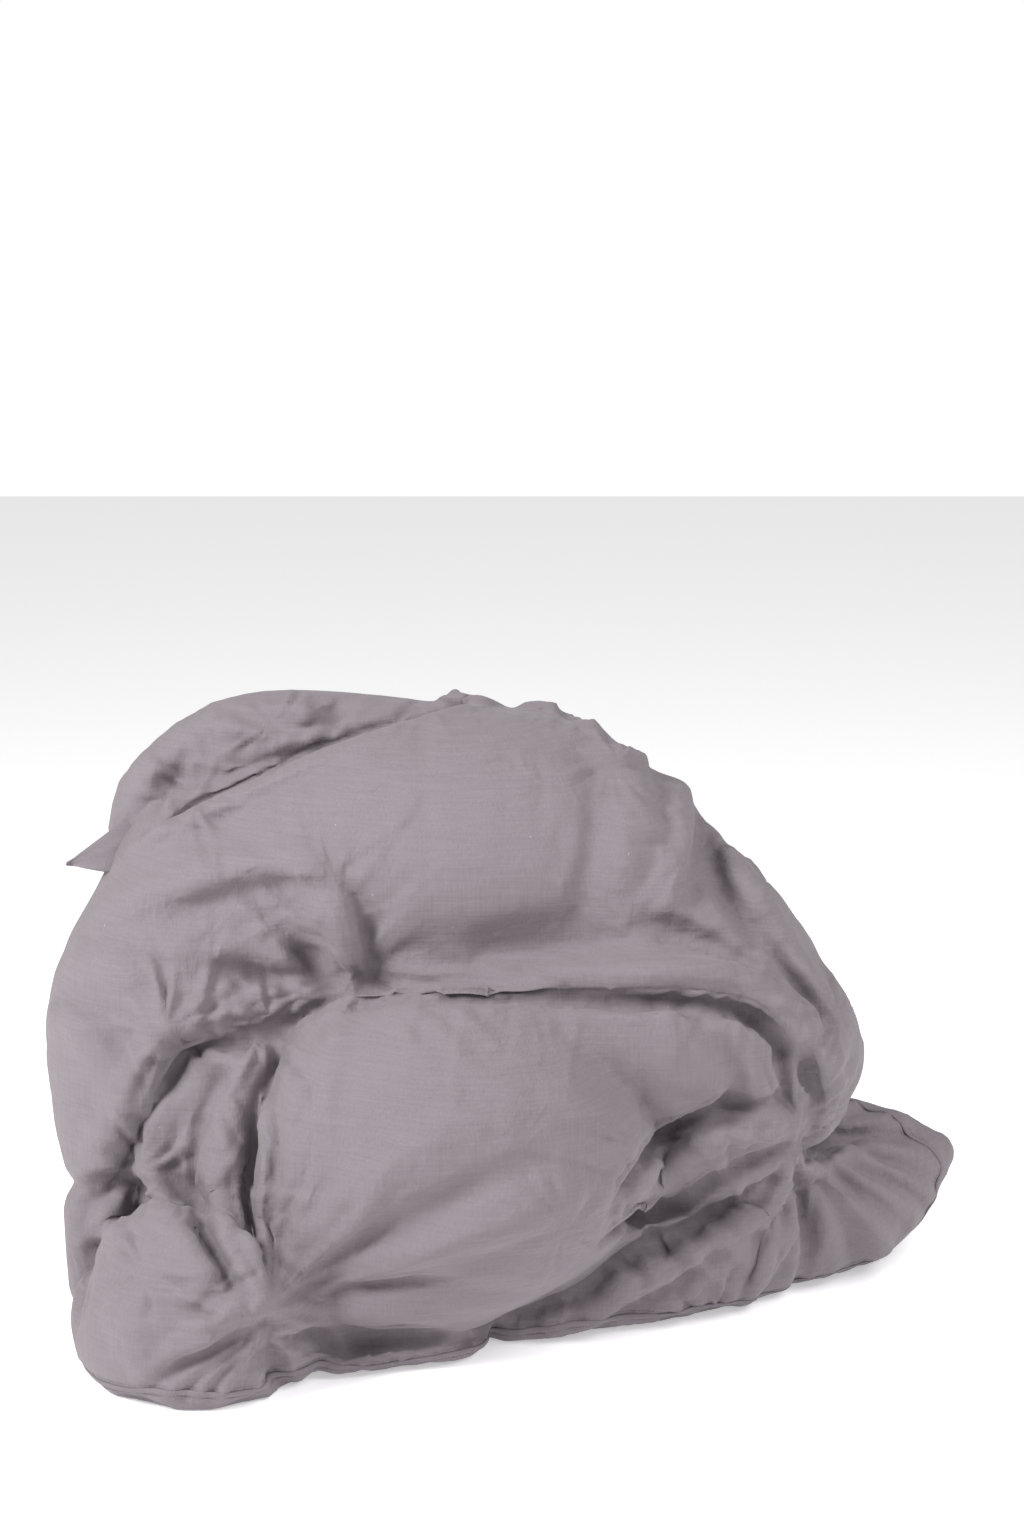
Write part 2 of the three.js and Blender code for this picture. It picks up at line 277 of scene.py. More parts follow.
def add_piece(name, mesh, material):
    """A new object of the heap with that mesh, shaded smooth."""
    mesh.materials.clear()
    mesh.materials.append(material)
    mesh.polygons.foreach_set("use_smooth", [True] * len(mesh.polygons))
    piece = bpy.data.objects.new(name, mesh)
    bpy.context.scene.collection.objects.link(piece)
    return piece


def mesh_from(name, points, faces):
    """A mesh from points and faces."""
    mesh = bpy.data.meshes.new(name)
    mesh.from_pydata([tuple(map(float, p)) for p in points], [], [tuple(map(int, f)) for f in faces])
    mesh.update()
    return mesh


def points_of(mesh):
    """All points of a mesh as rows."""
    flat = np.empty(len(mesh.vertices) * 3, np.float32)
    mesh.vertices.foreach_get("co", flat)
    return flat.reshape(-1, 3).astype(float)


def set_points(mesh, points):
    """Moves the points of a mesh to those rows."""
    mesh.vertices.foreach_set("co", np.asarray(points, np.float32).ravel())
    mesh.update()


def normals_of(mesh):
    """The outward direction at each point of a mesh."""
    flat = np.empty(len(mesh.vertices) * 3, np.float32)
    mesh.vertex_normals.foreach_get("vector", flat)
    return flat.reshape(-1, 3).astype(float)


def tree_of(mesh):
    """A mesh's faces, sorted so that places on them are found fast."""
    return BVHTree.FromPolygons(
        [tuple(p) for p in points_of(mesh)], [tuple(f.vertices) for f in mesh.polygons]
    )


def settled_mesh(piece):
    """The piece's mesh with its modifiers applied, and the piece without them."""
    graph = bpy.context.evaluated_depsgraph_get()
    mesh = bpy.data.meshes.new_from_object(piece.evaluated_get(graph))
    material = piece.data.materials[0] if piece.data.materials else None
    piece.modifiers.clear()
    piece.data = mesh
    if material and not mesh.materials:
        mesh.materials.append(material)
    mesh.polygons.foreach_set("use_smooth", [True] * len(mesh.polygons))
    return mesh


def copy_of_node(node):
    """A merged copy of a CAD node's mesh, as a bmesh."""
    shape = bmesh.new()
    shape.from_mesh(bpy.data.objects[node].data)
    bmesh.ops.remove_doubles(shape, verts=shape.verts, dist=1e-5)
    return shape


def smooth_line(points, steps):
    """A smooth curve through points, as rows, with that many steps between each two."""
    rows = np.array(points, float)
    if len(rows) < 3:
        share = np.linspace(0, 1, steps + 1)[:, None]
        return rows[0] * (1 - share) + rows[-1] * share
    ends = np.vstack([2 * rows[0] - rows[1], rows, 2 * rows[-1] - rows[-2]])
    line = []
    for before, start, stop, after in zip(ends, ends[1:], ends[2:], ends[3:]):
        for t in np.arange(steps) / steps:
            bend = 2 * before - 5 * start + 4 * stop - after
            twist = 3 * start - before - 3 * stop + after
            line.append(0.5 * (2 * start + (stop - before) * t + bend * t**2 + twist * t**3))
    line.append(rows[-1])
    return np.array(line)


def evenly_spaced(points, spacing):
    """The same line with points at an even spacing."""
    rows = np.asarray(points, float)
    runs = np.linalg.norm(np.diff(rows, axis=0), axis=1)
    along = np.concatenate([[0], np.cumsum(runs)])
    count = max(2, int(along[-1] / spacing))
    stops = np.linspace(0, along[-1], count + 1)
    return np.stack([np.interp(stops, along, rows[:, k]) for k in range(3)], axis=1)


def eased(line, rounds):
    """A line with its small jags smoothed away, ends kept."""
    rows = line.copy()
    for _ in range(rounds):
        rows[1:-1] = (rows[:-2] + 2 * rows[1:-1] + rows[2:]) / 4
    return rows


# ---------------------------------------------------------------- the heap as distances


class SoftField:
    """A heap of cloth as distances on a grid of points: minus inside it, plus outside."""

    def __init__(self, low, high, step):
        self.low = np.array(low, float)
        self.step = step
        self.shape = tuple(int(math.ceil((h - l) / step)) + 1 for l, h in zip(low, high))
        self.values = np.full(self.shape, 0.1, np.float32)
        self.creases = []

    def window(self, low, high):
        """The part of the grid between two corners, and its coordinates."""
        first = np.floor((np.array(low) - self.low) / self.step).astype(int)
        last = np.ceil((np.array(high) - self.low) / self.step).astype(int) + 1
        first = np.clip(first, 0, np.array(self.shape) - 1)
        last = np.clip(last, first + 1, self.shape)
        where = tuple(slice(a, b) for a, b in zip(first, last))
        axes = [self.low[k] + self.step * np.arange(first[k], last[k]) for k in range(3)]
        return where, [grid.astype(np.float32) for grid in np.ix_(*axes)]

    def join(self, where, distance, blend):
        """Adds a shape, with a soft crease of that width."""
        old = self.values[where]
        near = np.clip(blend - np.abs(old - distance), 0, None) / blend
        self.values[where] = np.minimum(old, distance) - near * near * blend / 4

    def carve(self, where, distance, blend):
        """Takes a shape away, with a soft edge of that width."""
        old = self.values[where]
        near = np.clip(blend - np.abs(old + distance), 0, None) / blend
        self.values[where] = np.maximum(old, -distance) + near * near * blend / 4

    def roll(self, chain, blend=0.02, steps=4, cut=False):
        """A roll of cloth through balls given as rows of x, y, z and radius."""
        line = smooth_line(chain, steps)
        reach = line[:, 3].max() + blend + 0.03
        where, (x, y, z) = self.window(line[:, :3].min(0) - reach, line[:, :3].max(0) + reach)
        nearest = None
        for start, stop in zip(line[:-1], line[1:]):
            way = stop[:3] - start[:3]
            length = max(float(way @ way), 1e-9)
            across = (x - start[0]) * way[0] + (y - start[1]) * way[1] + (z - start[2]) * way[2]
            t = np.clip(across / length, 0, 1)
            squares = (x - start[0] - t * way[0]) ** 2 + (y - start[1] - t * way[1]) ** 2
            squares = squares + (z - start[2] - t * way[2]) ** 2
            distance = np.sqrt(squares) - (start[3] + t * (stop[3] - start[3]))
            nearest = distance if nearest is None else np.minimum(nearest, distance)
        if cut:
            self.carve(where, nearest.astype(np.float32), blend)
        else:
            self.join(where, nearest.astype(np.float32), blend)

    def lobe(self, centre, radii, blend=0.03):
        """A rounded lobe about a centre."""
        middle = np.array(centre)
        size = np.array(radii)
        where, grids = self.window(middle - size - blend - 0.03, middle + size + blend + 0.03)
        shares = [(grid - m) / s for grid, m, s in zip(grids, middle, size)]
        slopes = [share / s for share, s in zip(shares, size)]
        far = np.sqrt(sum(share**2 for share in shares))
        slope = np.sqrt(sum(share**2 for share in slopes))
        self.join(where, (far * (far - 1) / np.maximum(slope, 1e-6)).astype(np.float32), blend)

    def at(self, points):
        """The distance at points, read between the grid's points."""
        place = (np.asarray(points, float) - self.low) / self.step
        corner = np.clip(np.floor(place).astype(int), 0, np.array(self.shape) - 2)
        share = np.clip(place - corner, 0, 1)
        total = 0
        for dx in (0, 1):
            for dy in (0, 1):
                for dz in (0, 1):
                    weight = share[..., 0] if dx else 1 - share[..., 0]
                    weight = weight * (share[..., 1] if dy else 1 - share[..., 1])
                    weight = weight * (share[..., 2] if dz else 1 - share[..., 2])
                    cell = (corner[..., 0] + dx, corner[..., 1] + dy, corner[..., 2] + dz)
                    total = total + weight * self.values[cell]
        return total

    def normal(self, points):
        """The outward direction at points."""
        rows = np.asarray(points, float)
        reach = self.step * 1.5
        slope = np.stack([self.at(rows + reach * e) - self.at(rows - reach * e) for e in np.eye(3)], axis=-1)
        return slope / np.maximum(np.linalg.norm(slope, axis=-1, keepdims=True), 1e-6)

    def hit(self, start, way):
        """Where a straight look from start first meets the heap."""
        steps = np.arange(0, SIGHT_REACH, SIGHT_STEP)
        line = np.array(start)[None] + steps[:, None] * np.array(way)[None]
        values = self.at(line)
        inside = np.nonzero(values < 0)[0]
        return line[inside[0] if len(inside) else int(np.argmin(values))]

    def seen(self, across, up):
        """The point of the front that shows at across, up on a sheet held square to the line of sight."""
        height = (up - UP_Y * (FRONT - SIGHT_START)) / UP_Z
        return self.hit((across, -SIGHT_START, height), (0, UP_Z, -UP_Y))

    def behind(self, across, height):
        """The point of the back that shows at across and height."""
        return self.hit((across, SIGHT_START, height), (0, -1, 0))

    def fold(self, points, width, rise, blend, cut, find=None, steps=4, open_end=False):
        """A ridge, or with cut a groove, along points on the surface. It fades at its ends."""
        find = find or self.seen
        line = smooth_line(points, steps)
        self.creases.append((find == self.behind, line, width, -rise if cut else rise, open_end))
        chain = []
        for k, (across, up) in enumerate(line):
            share = k / (len(line) - 1)
            fade = math.sin(math.pi * (0.5 + 0.42 * share if open_end else 0.12 + 0.76 * share))
            point = find(across, up)
            if self.at(point) > 0:
                continue
            out = self.normal(point)
            radius = width * (0.45 + 0.55 * fade)
            depth = rise * fade
            centre = point + out * ((radius - depth) if cut else (depth - radius))
            chain.append([*centre, radius])
        if len(chain) > 1:
            self.roll(chain, blend, steps=1, cut=cut)

    def skin(self):
        """Points and faces of the surface."""
        grid = openvdb.FloatGrid(background=0.1)
        grid.copyFromArray(self.values)
        points, quads = grid.convertToQuads(isovalue=0.0)
        return self.low + points * self.step, quads


class FoldedHeap(SoftField):
    """The duvet's heap, with the words that its folds are laid out in."""

    def ridge(self, width, rise, blend, *points):
        """Cloth pushed up along a line."""
        self.fold(points, width, rise * self.depth, blend, cut=False)

    def groove(self, width, depth, blend, *points):
        """Cloth drawn in along a line."""
        self.fold(points, width, depth * self.depth, blend, cut=True)

    def gathers(self, seed, count, length, rise, *points, lean=0.5, side=0):
        """Small pleats that run off a crease, to one side of it or to both."""
        draw = random.Random(seed)
        rows = smooth_line(points, 8)
        for k in range(count):
            share = (k + draw.uniform(0.2, 0.8)) / count
            place = share * (len(rows) - 1)
            first = min(int(place), len(rows) - 2)
            start = rows[first] + (rows[first + 1] - rows[first]) * (place - first)
            way = rows[first + 1] - rows[first]
            turn = math.atan2(way[1], way[0]) + math.pi / 2 * (side or draw.choice((-1, 1)))
            turn += draw.uniform(-lean, lean)
            reach = length * draw.uniform(0.5, 1.3)
            bend = turn + draw.uniform(-0.35, 0.35)
            middle = start + reach * 0.5 * np.array([math.cos(turn), math.sin(turn)])
            stop = middle + reach * 0.5 * np.array([math.cos(bend), math.sin(bend)])
            size = draw.uniform(0.6, 1.3)
            width = GATHER_WIDTH * size
            cut = draw.random() < 0.4
            height = rise * size * self.depth
            line = smooth_line([start, middle, stop], 2)
            self.creases.append((False, line, width, -height if cut else height, True))

    def back_ridge(self, width, rise, blend, *points):
        """A ridge on the back, given by across and height."""
        self.fold(points, width, rise * self.depth, blend, cut=False, find=self.behind)

    def back_groove(self, width, depth, blend, *points):
        """A groove on the back, given by across and height."""
        self.fold(points, width, depth * self.depth, blend, cut=True, find=self.behind)


def big_shapes(heap):
    """The stuffed layers, from the back of the heap to its front."""
    # core and back
    heap.lobe((-0.05, 0.06, 0.28), (0.38, 0.24, 0.34))
    heap.roll([(-0.36, 0.17, 0.16, 0.15), (-0.05, 0.20, 0.16, 0.16), (0.24, 0.19, 0.16, 0.15)], 0.03)
    heap.roll([(-0.33, 0.16, 0.40, 0.13), (-0.05, 0.19, 0.41, 0.14), (0.15, 0.17, 0.38, 0.14)], 0.03)
    # rumpled layer behind the crown
    rumpled = [(-0.43, 0.09, 0.54, 0.045), (-0.40, 0.10, 0.59, 0.055), (-0.30, 0.11, 0.65, 0.055)]
    rumpled += [(-0.10, 0.12, 0.645, 0.05), (0.02, 0.12, 0.63, 0.05), (0.11, 0.10, 0.60, 0.042)]
    heap.roll(rumpled, 0.03)
    # crown, and its fall down to the right
    crown = [(-0.33, 0.03, 0.465, 0.14), (-0.20, 0.03, 0.505, 0.155), (-0.07, 0.04, 0.52, 0.175)]
    crown += [
        (0.03, 0.04, 0.515, 0.165), (0.105, 0.03, 0.475, 0.150), (0.20, 0.0, 0.355, 0.165),
        (0.22, -0.01, 0.27, 0.16),
    ]
    heap.roll(crown, 0.02)
    # the crown's fall down to the left
    left_fall = [(-0.33, 0.03, 0.465, 0.14), (-0.40, -0.02, 0.36, 0.135)]
    heap.roll(left_fall + [(-0.43, -0.05, 0.27, 0.105), (-0.45, -0.07, 0.215, 0.075)], 0.02)
    # belly in front
    heap.lobe((-0.06, -0.11, 0.25), (0.235, 0.23, 0.20), 0.012)
    belly_right = [(0.0, -0.10, 0.33, 0.13), (0.15, -0.10, 0.36, 0.12)]
    heap.roll(belly_right + [(0.27, -0.06, 0.34, 0.115), (0.33, -0.01, 0.30, 0.08)], 0.012)
    heap.roll([(-0.18, -0.17, 0.165, 0.12), (-0.08, -0.18, 0.17, 0.13), (0.0, -0.14, 0.22, 0.12)], 0.03)
    # layer on the floor, right, middle and left
    floor_right = [(0.0, -0.06, 0.08, 0.13), (0.15, -0.02, 0.10, 0.14), (0.30, 0.05, 0.10, 0.12)]
    heap.roll(floor_right + [(0.41, 0.10, 0.10, 0.095), (0.512, 0.13, 0.125, 0.028)], 0.012)
    heap.roll([(-0.20, -0.23, 0.05, 0.06), (-0.08, -0.20, 0.05, 0.055)], 0.02)
    heap.lobe((-0.35, -0.225, 0.06), (0.145, 0.15, 0.13), 0.012)
    heap.roll([(-0.475, -0.09, 0.05, 0.045), (-0.475, -0.10, 0.14, 0.045)], 0.015)
    # twisted folds between the fall on the left and the belly
    long_twist = [(-0.27, -0.06, 0.40, 0.06), (-0.32, -0.12, 0.28, 0.065)]
    heap.roll(long_twist + [(-0.30, -0.18, 0.17, 0.055), (-0.27, -0.21, 0.10, 0.04)], 0.012)
    heap.roll([(-0.36, -0.05, 0.30, 0.07), (-0.37, -0.10, 0.20, 0.07), (-0.33, -0.16, 0.12, 0.06)], 0.012)


def crown_folds(heap):
    """Folds of the crown: the pleat left of its middle, its fall to the left, then its right side."""
    heap.groove(0.016, 0.007, 0.015, (-0.202, 0.600), (-0.171, 0.556), (-0.161, 0.510), (-0.155, 0.485))
    heap.ridge(0.022, 0.014, 0.02, (-0.232, 0.612), (-0.205, 0.560), (-0.192, 0.517), (-0.178, 0.478))
    heap.ridge(0.022, 0.012, 0.03, (-0.205, 0.603), (-0.287, 0.606), (-0.395, 0.582), (-0.455, 0.556))
    heap.groove(0.016, 0.010, 0.02, (-0.209, 0.580), (-0.302, 0.574), (-0.372, 0.556))
    heap.groove(0.014, 0.012, 0.015, (-0.255, 0.530), (-0.209, 0.480))
    heap.ridge(0.018, 0.010, 0.02, (-0.276, 0.520), (-0.232, 0.474))
    heap.groove(0.014, 0.012, 0.02, (-0.340, 0.492), (-0.250, 0.480), (-0.160, 0.480))
    ragged = [
        (-0.155, 0.478), (-0.235, 0.440), (-0.302, 0.412), (-0.357, 0.404), (-0.395, 0.355), (-0.430, 0.290),
    ]
    heap.groove(0.013, 0.017, 0.010, *ragged, (-0.481, 0.207))
    lip = [(-0.25, 0.468), (-0.33, 0.436), (-0.388, 0.424), (-0.425, 0.372), (-0.460, 0.300), (-0.500, 0.225)]
    heap.ridge(0.024, 0.014, 0.02, *lip)
    heap.ridge(0.02, 0.010, 0.03, (-0.390, 0.430), (-0.442, 0.486), (-0.488, 0.502))
    heap.ridge(0.014, 0.007, 0.03, (-0.455, 0.38), (-0.49, 0.43), (-0.52, 0.44))
    heap.groove(0.022, 0.003, 0.03, (0.085, 0.719), (0.104, 0.640), (0.077, 0.556), (-0.023, 0.517))
    heap.ridge(0.024, 0.010, 0.03, (0.136, 0.700), (0.122, 0.626), (0.098, 0.560))
    heap.ridge(0.018, 0.012, 0.03, (0.186, 0.715), (0.194, 0.657), (0.178, 0.579))
    heap.groove(0.012, 0.012, 0.02, (0.212, 0.69), (0.217, 0.640), (0.205, 0.580))
    heap.groove(0.014, 0.014, 0.02, (0.225, 0.650), (0.236, 0.603), (0.271, 0.525))
    heap.ridge(0.016, 0.012, 0.02, (0.248, 0.626), (0.287, 0.556), (0.333, 0.494))
    heap.groove(0.014, 0.010, 0.02, (0.150, 0.545), (0.220, 0.520), (0.349, 0.455))
    heap.ridge(0.014, 0.010, 0.02, (0.132, 0.483), (0.240, 0.484), (0.333, 0.448))
    heap.groove(0.010, 0.012, 0.01, (0.290, 0.52), (0.330, 0.47), (0.36, 0.43))
    heap.groove(0.022, 0.008, 0.03, (-0.149, 0.4825), (-0.05, 0.502), (0.0715, 0.514))
    heap.ridge(0.016, 0.014, 0.012, (-0.060, 0.790), (-0.213, 0.732), (-0.3645, 0.663), (-0.425, 0.630))
    heap.groove(0.014, 0.024, 0.008, (-0.045, 0.808), (-0.21, 0.757), (-0.35, 0.692), (-0.41, 0.655))
    heap.gathers(11, 18, 0.14, 0.009, *ragged, side=-1, lean=1.1)
    heap.gathers(12, 8, 0.16, 0.006, (-0.202, 0.600), (-0.161, 0.510), (-0.155, 0.470), side=1, lean=0.8)
    heap.gathers(
        13, 10, 0.15, 0.004, (0.36, 0.43), (0.33, 0.50), (0.29, 0.58), (0.22, 0.68), side=1, lean=0.9,
    )


def rumpled_folds(heap):
    """Small folds of the rumpled layer behind the crown."""
    heap.ridge(0.010, 0.010, 0.01, (-0.349, 0.773), (-0.271, 0.760))
    heap.ridge(0.010, 0.010, 0.01, (-0.302, 0.800), (-0.190, 0.785))
    heap.ridge(0.010, 0.010, 0.01, (-0.333, 0.738), (-0.240, 0.756), (-0.15, 0.785))
    heap.ridge(0.012, 0.010, 0.01, (-0.411, 0.750), (-0.434, 0.688))
    heap.groove(0.010, 0.012, 0.01, (-0.380, 0.750), (-0.402, 0.690))
    heap.ridge(0.008, 0.009, 0.01, (-0.250, 0.775), (-0.240, 0.800))
    heap.groove(0.008, 0.009, 0.01, (-0.215, 0.765), (-0.200, 0.805))
    heap.ridge(0.014, 0.016, 0.01, (-0.10, 0.822), (-0.06, 0.805), (-0.02, 0.802))
    heap.ridge(0.014, 0.016, 0.01, (-0.01, 0.81), (0.04, 0.792), (0.085, 0.768), (0.11, 0.752))
    heap.groove(0.010, 0.012, 0.01, (0.05, 0.80), (0.08, 0.785))
    heap.ridge(0.012, 0.012, 0.01, (0.09, 0.745), (0.13, 0.735), (0.155, 0.745))
    heap.gathers(
        21, 14, 0.12, 0.007, (-0.045, 0.812), (-0.21, 0.762), (-0.35, 0.700), (-0.43, 0.655), side=-1,
        lean=1.2,
    )


def twisted_folds(heap):
    """The folds that twist down together into the pinch at the foot of the belly."""
    pinch = (-0.264, 0.107)
    heap.ridge(
        0.024, 0.015, 0.012, (-0.349, 0.385), (-0.395, 0.300), (-0.400, 0.223), (-0.333, 0.150),
        (-0.279, 0.102),
    )
    heap.ridge(0.022, 0.014, 0.012, (-0.300, 0.385), (-0.326, 0.269), (-0.292, 0.155), pinch)
    heap.ridge(0.020, 0.014, 0.012, (-0.225, 0.400), (-0.262, 0.300), (-0.274, 0.207), pinch)
    heap.groove(0.010, 0.010, 0.006, (-0.326, 0.378), (-0.362, 0.285), (-0.349, 0.207), (-0.279, 0.114))
    heap.groove(0.010, 0.009, 0.006, (-0.264, 0.385), (-0.295, 0.269), (-0.285, 0.192), (-0.264, 0.114))
    heap.groove(0.010, 0.009, 0.006, (-0.200, 0.415), (-0.236, 0.310), (-0.256, 0.210), (-0.258, 0.120))
    heap.groove(0.013, 0.012, 0.01, (-0.450, 0.252), (-0.405, 0.235))
    heap.ridge(0.018, 0.014, 0.01, (-0.442, 0.254), (-0.470, 0.205), (-0.43, 0.185))
    heap.ridge(0.012, 0.007, 0.01, (-0.385, 0.36), (-0.42, 0.29))
    heap.gathers(31, 14, 0.12, 0.009, (-0.27, 0.40), (-0.30, 0.30), (-0.30, 0.20), (-0.27, 0.13), lean=1.3)


def belly_folds(heap):
    """Folds of the belly: its top edge under the crown, the spread from the pinch, and its right end."""
    top_edge = [
        (-0.200, 0.415), (-0.150, 0.458), (0.054, 0.456), (0.209, 0.453), (0.287, 0.426), (0.3565, 0.347),
    ]
    heap.groove(0.014, 0.024, 0.006, *top_edge)
    heap.ridge(0.020, 0.009, 0.012, (-0.15, 0.490), (0.054, 0.486), (0.209, 0.480), (0.30, 0.450))
    heap.ridge(0.022, 0.014, 0.025, (-0.180, 0.440), (-0.210, 0.362), (-0.236, 0.238), (-0.252, 0.122))
    pinch = (-0.262, 0.10)
    heap.ridge(0.014, 0.011, 0.012, pinch, (-0.18, 0.120), (-0.085, 0.104))
    heap.ridge(0.018, 0.011, 0.02, pinch, (-0.17, 0.158), (-0.05, 0.196), (0.06, 0.245))
    heap.ridge(0.022, 0.009, 0.03, pinch, (-0.20, 0.20), (-0.12, 0.28), (-0.02, 0.33))
    heap.groove(0.012, 0.010, 0.012, pinch, (-0.17, 0.136), (-0.06, 0.152))
    heap.groove(0.016, 0.008, 0.02, pinch, (-0.185, 0.178), (-0.07, 0.240), (0.03, 0.285))
    heap.groove(0.012, 0.020, 0.01, (0.318, 0.347), (0.209, 0.326), (0.147, 0.280), (0.108, 0.223))
    heap.ridge(0.018, 0.016, 0.012, (0.333, 0.326), (0.240, 0.302), (0.178, 0.263), (0.132, 0.207))
    heap.groove(0.010, 0.013, 0.01, (0.345, 0.300), (0.262, 0.272), (0.205, 0.235), (0.16, 0.19))
    heap.groove(0.012, 0.014, 0.012, (0.262, 0.445), (0.302, 0.393), (0.312, 0.331))
    heap.ridge(0.014, 0.012, 0.012, (0.333, 0.424), (0.362, 0.370), (0.350, 0.316))
    heap.groove(0.014, 0.008, 0.02, (0.205, 0.430), (0.252, 0.378), (0.240, 0.330))
    heap.ridge(0.022, 0.006, 0.03, (0.120, 0.300), (0.06, 0.345), (-0.02, 0.365))
    heap.gathers(41, 12, 0.12, 0.006, (-0.12, 0.455), (0.054, 0.452), (0.209, 0.449), (0.287, 0.422), side=-1)
    heap.gathers(42, 12, 0.13, 0.010, (0.345, 0.32), (0.24, 0.31), (0.15, 0.27), (0.11, 0.21))


def floor_folds(heap):
    """Folds of the layer on the floor, left, middle and right."""
    heap.ridge(0.016, 0.013, 0.012, (-0.378, 0.072), (-0.330, 0.098), (-0.279, 0.130))
    heap.groove(0.012, 0.014, 0.01, (-0.372, 0.052), (-0.318, 0.078), (-0.272, 0.108))
    heap.groove(0.014, 0.012, 0.012, (-0.473, 0.176), (-0.488, 0.083))
    heap.groove(0.014, 0.014, 0.01, (-0.276, 0.107), (-0.262, 0.052), (-0.245, 0.010))
    heap.ridge(0.014, 0.010, 0.012, (-0.45, 0.19), (-0.37, 0.215), (-0.30, 0.185), (-0.272, 0.125))
    heap.ridge(0.018, 0.008, 0.02, (-0.43, 0.12), (-0.40, 0.06))
    heap.groove(0.012, 0.02, 0.01, (-0.255, 0.085), (-0.16, 0.078), (-0.07, 0.083))
    corner = (0.318, 0.277)
    heap.ridge(0.018, 0.014, 0.012, corner, (0.355, 0.315), (0.400, 0.340))
    heap.groove(0.014, 0.012, 0.012, corner, (0.400, 0.295), (0.488, 0.293))
    heap.ridge(0.018, 0.012, 0.02, corner, (0.400, 0.250), (0.473, 0.192))
    heap.ridge(0.016, 0.014, 0.012, corner, (0.310, 0.190), (0.266, 0.090))
    heap.groove(0.014, 0.012, 0.012, corner, (0.345, 0.190), (0.34, 0.12))
    under_belly = [(-0.062, 0.078), (0.070, 0.118), (0.132, 0.163), (0.209, 0.194), (0.295, 0.256)]
    heap.groove(0.014, 0.022, 0.01, *under_belly)
    heap.ridge(
        0.020, 0.014, 0.012, (-0.04, 0.06), (0.08, 0.095), (0.150, 0.140), (0.225, 0.172), (0.300, 0.238),
    )
    heap.groove(0.012, 0.020, 0.01, (0.10, 0.19), (0.150, 0.215), (0.21, 0.225))
    heap.groove(0.014, 0.010, 0.012, (0.12, 0.10), (0.19, 0.13), (0.25, 0.18))
    heap.ridge(0.014, 0.008, 0.02, (0.35, 0.22), (0.42, 0.20), (0.46, 0.155))
    heap.gathers(51, 14, 0.12, 0.010, *under_belly, side=-1, lean=0.9)
    heap.gathers(52, 14, 0.12, 0.009, (-0.30, 0.185), (-0.272, 0.125), (-0.262, 0.052), (-0.245, 0.010))
    heap.gathers(53, 18, 0.17, 0.012, corner, (0.345, 0.27), (0.36, 0.25), lean=1.3)


def back_folds(heap):
    """Folds of the back, given by across and height."""
    heap.back_groove(0.016, 0.022, 0.012, (-0.42, 0.30), (-0.20, 0.275), (0.05, 0.285), (0.30, 0.27))
    heap.back_ridge(0.024, 0.014, 0.02, (-0.36, 0.42), (-0.20, 0.36), (-0.02, 0.34))
    heap.back_ridge(0.020, 0.012, 0.02, (-0.10, 0.50), (0.03, 0.42), (0.20, 0.36))
    heap.back_groove(0.014, 0.014, 0.012, (-0.28, 0.48), (-0.12, 0.41), (0.06, 0.37))
    heap.back_ridge(0.022, 0.014, 0.02, (-0.38, 0.22), (-0.22, 0.17), (-0.10, 0.08))
    heap.back_groove(0.014, 0.016, 0.012, (-0.30, 0.24), (-0.16, 0.16), (-0.05, 0.05))
    heap.back_ridge(0.020, 0.013, 0.02, (-0.05, 0.25), (0.02, 0.16), (0.16, 0.08))
    heap.back_groove(0.014, 0.014, 0.012, (0.03, 0.26), (0.10, 0.17), (0.24, 0.11))
    heap.back_ridge(0.018, 0.012, 0.02, (0.12, 0.27), (0.24, 0.20), (0.34, 0.14))
    heap.back_groove(0.012, 0.014, 0.01, (-0.40, 0.14), (-0.30, 0.10), (-0.24, 0.03))
    heap.back_ridge(0.018, 0.010, 0.02, (0.30, 0.52), (0.22, 0.44), (0.24, 0.32))
    heap.back_groove(0.014, 0.014, 0.012, (-0.42, 0.46), (-0.36, 0.38), (-0.38, 0.30))


def upright_hits(trees, across, back, height, way):
    """The heights at which a look straight up or down from a place meets the trees."""
    hits = [tree.ray_cast(Vector((across, back, height)), Vector((0, 0, way)))[0] for tree in trees]
    return [hit.z for hit in hits if hit]


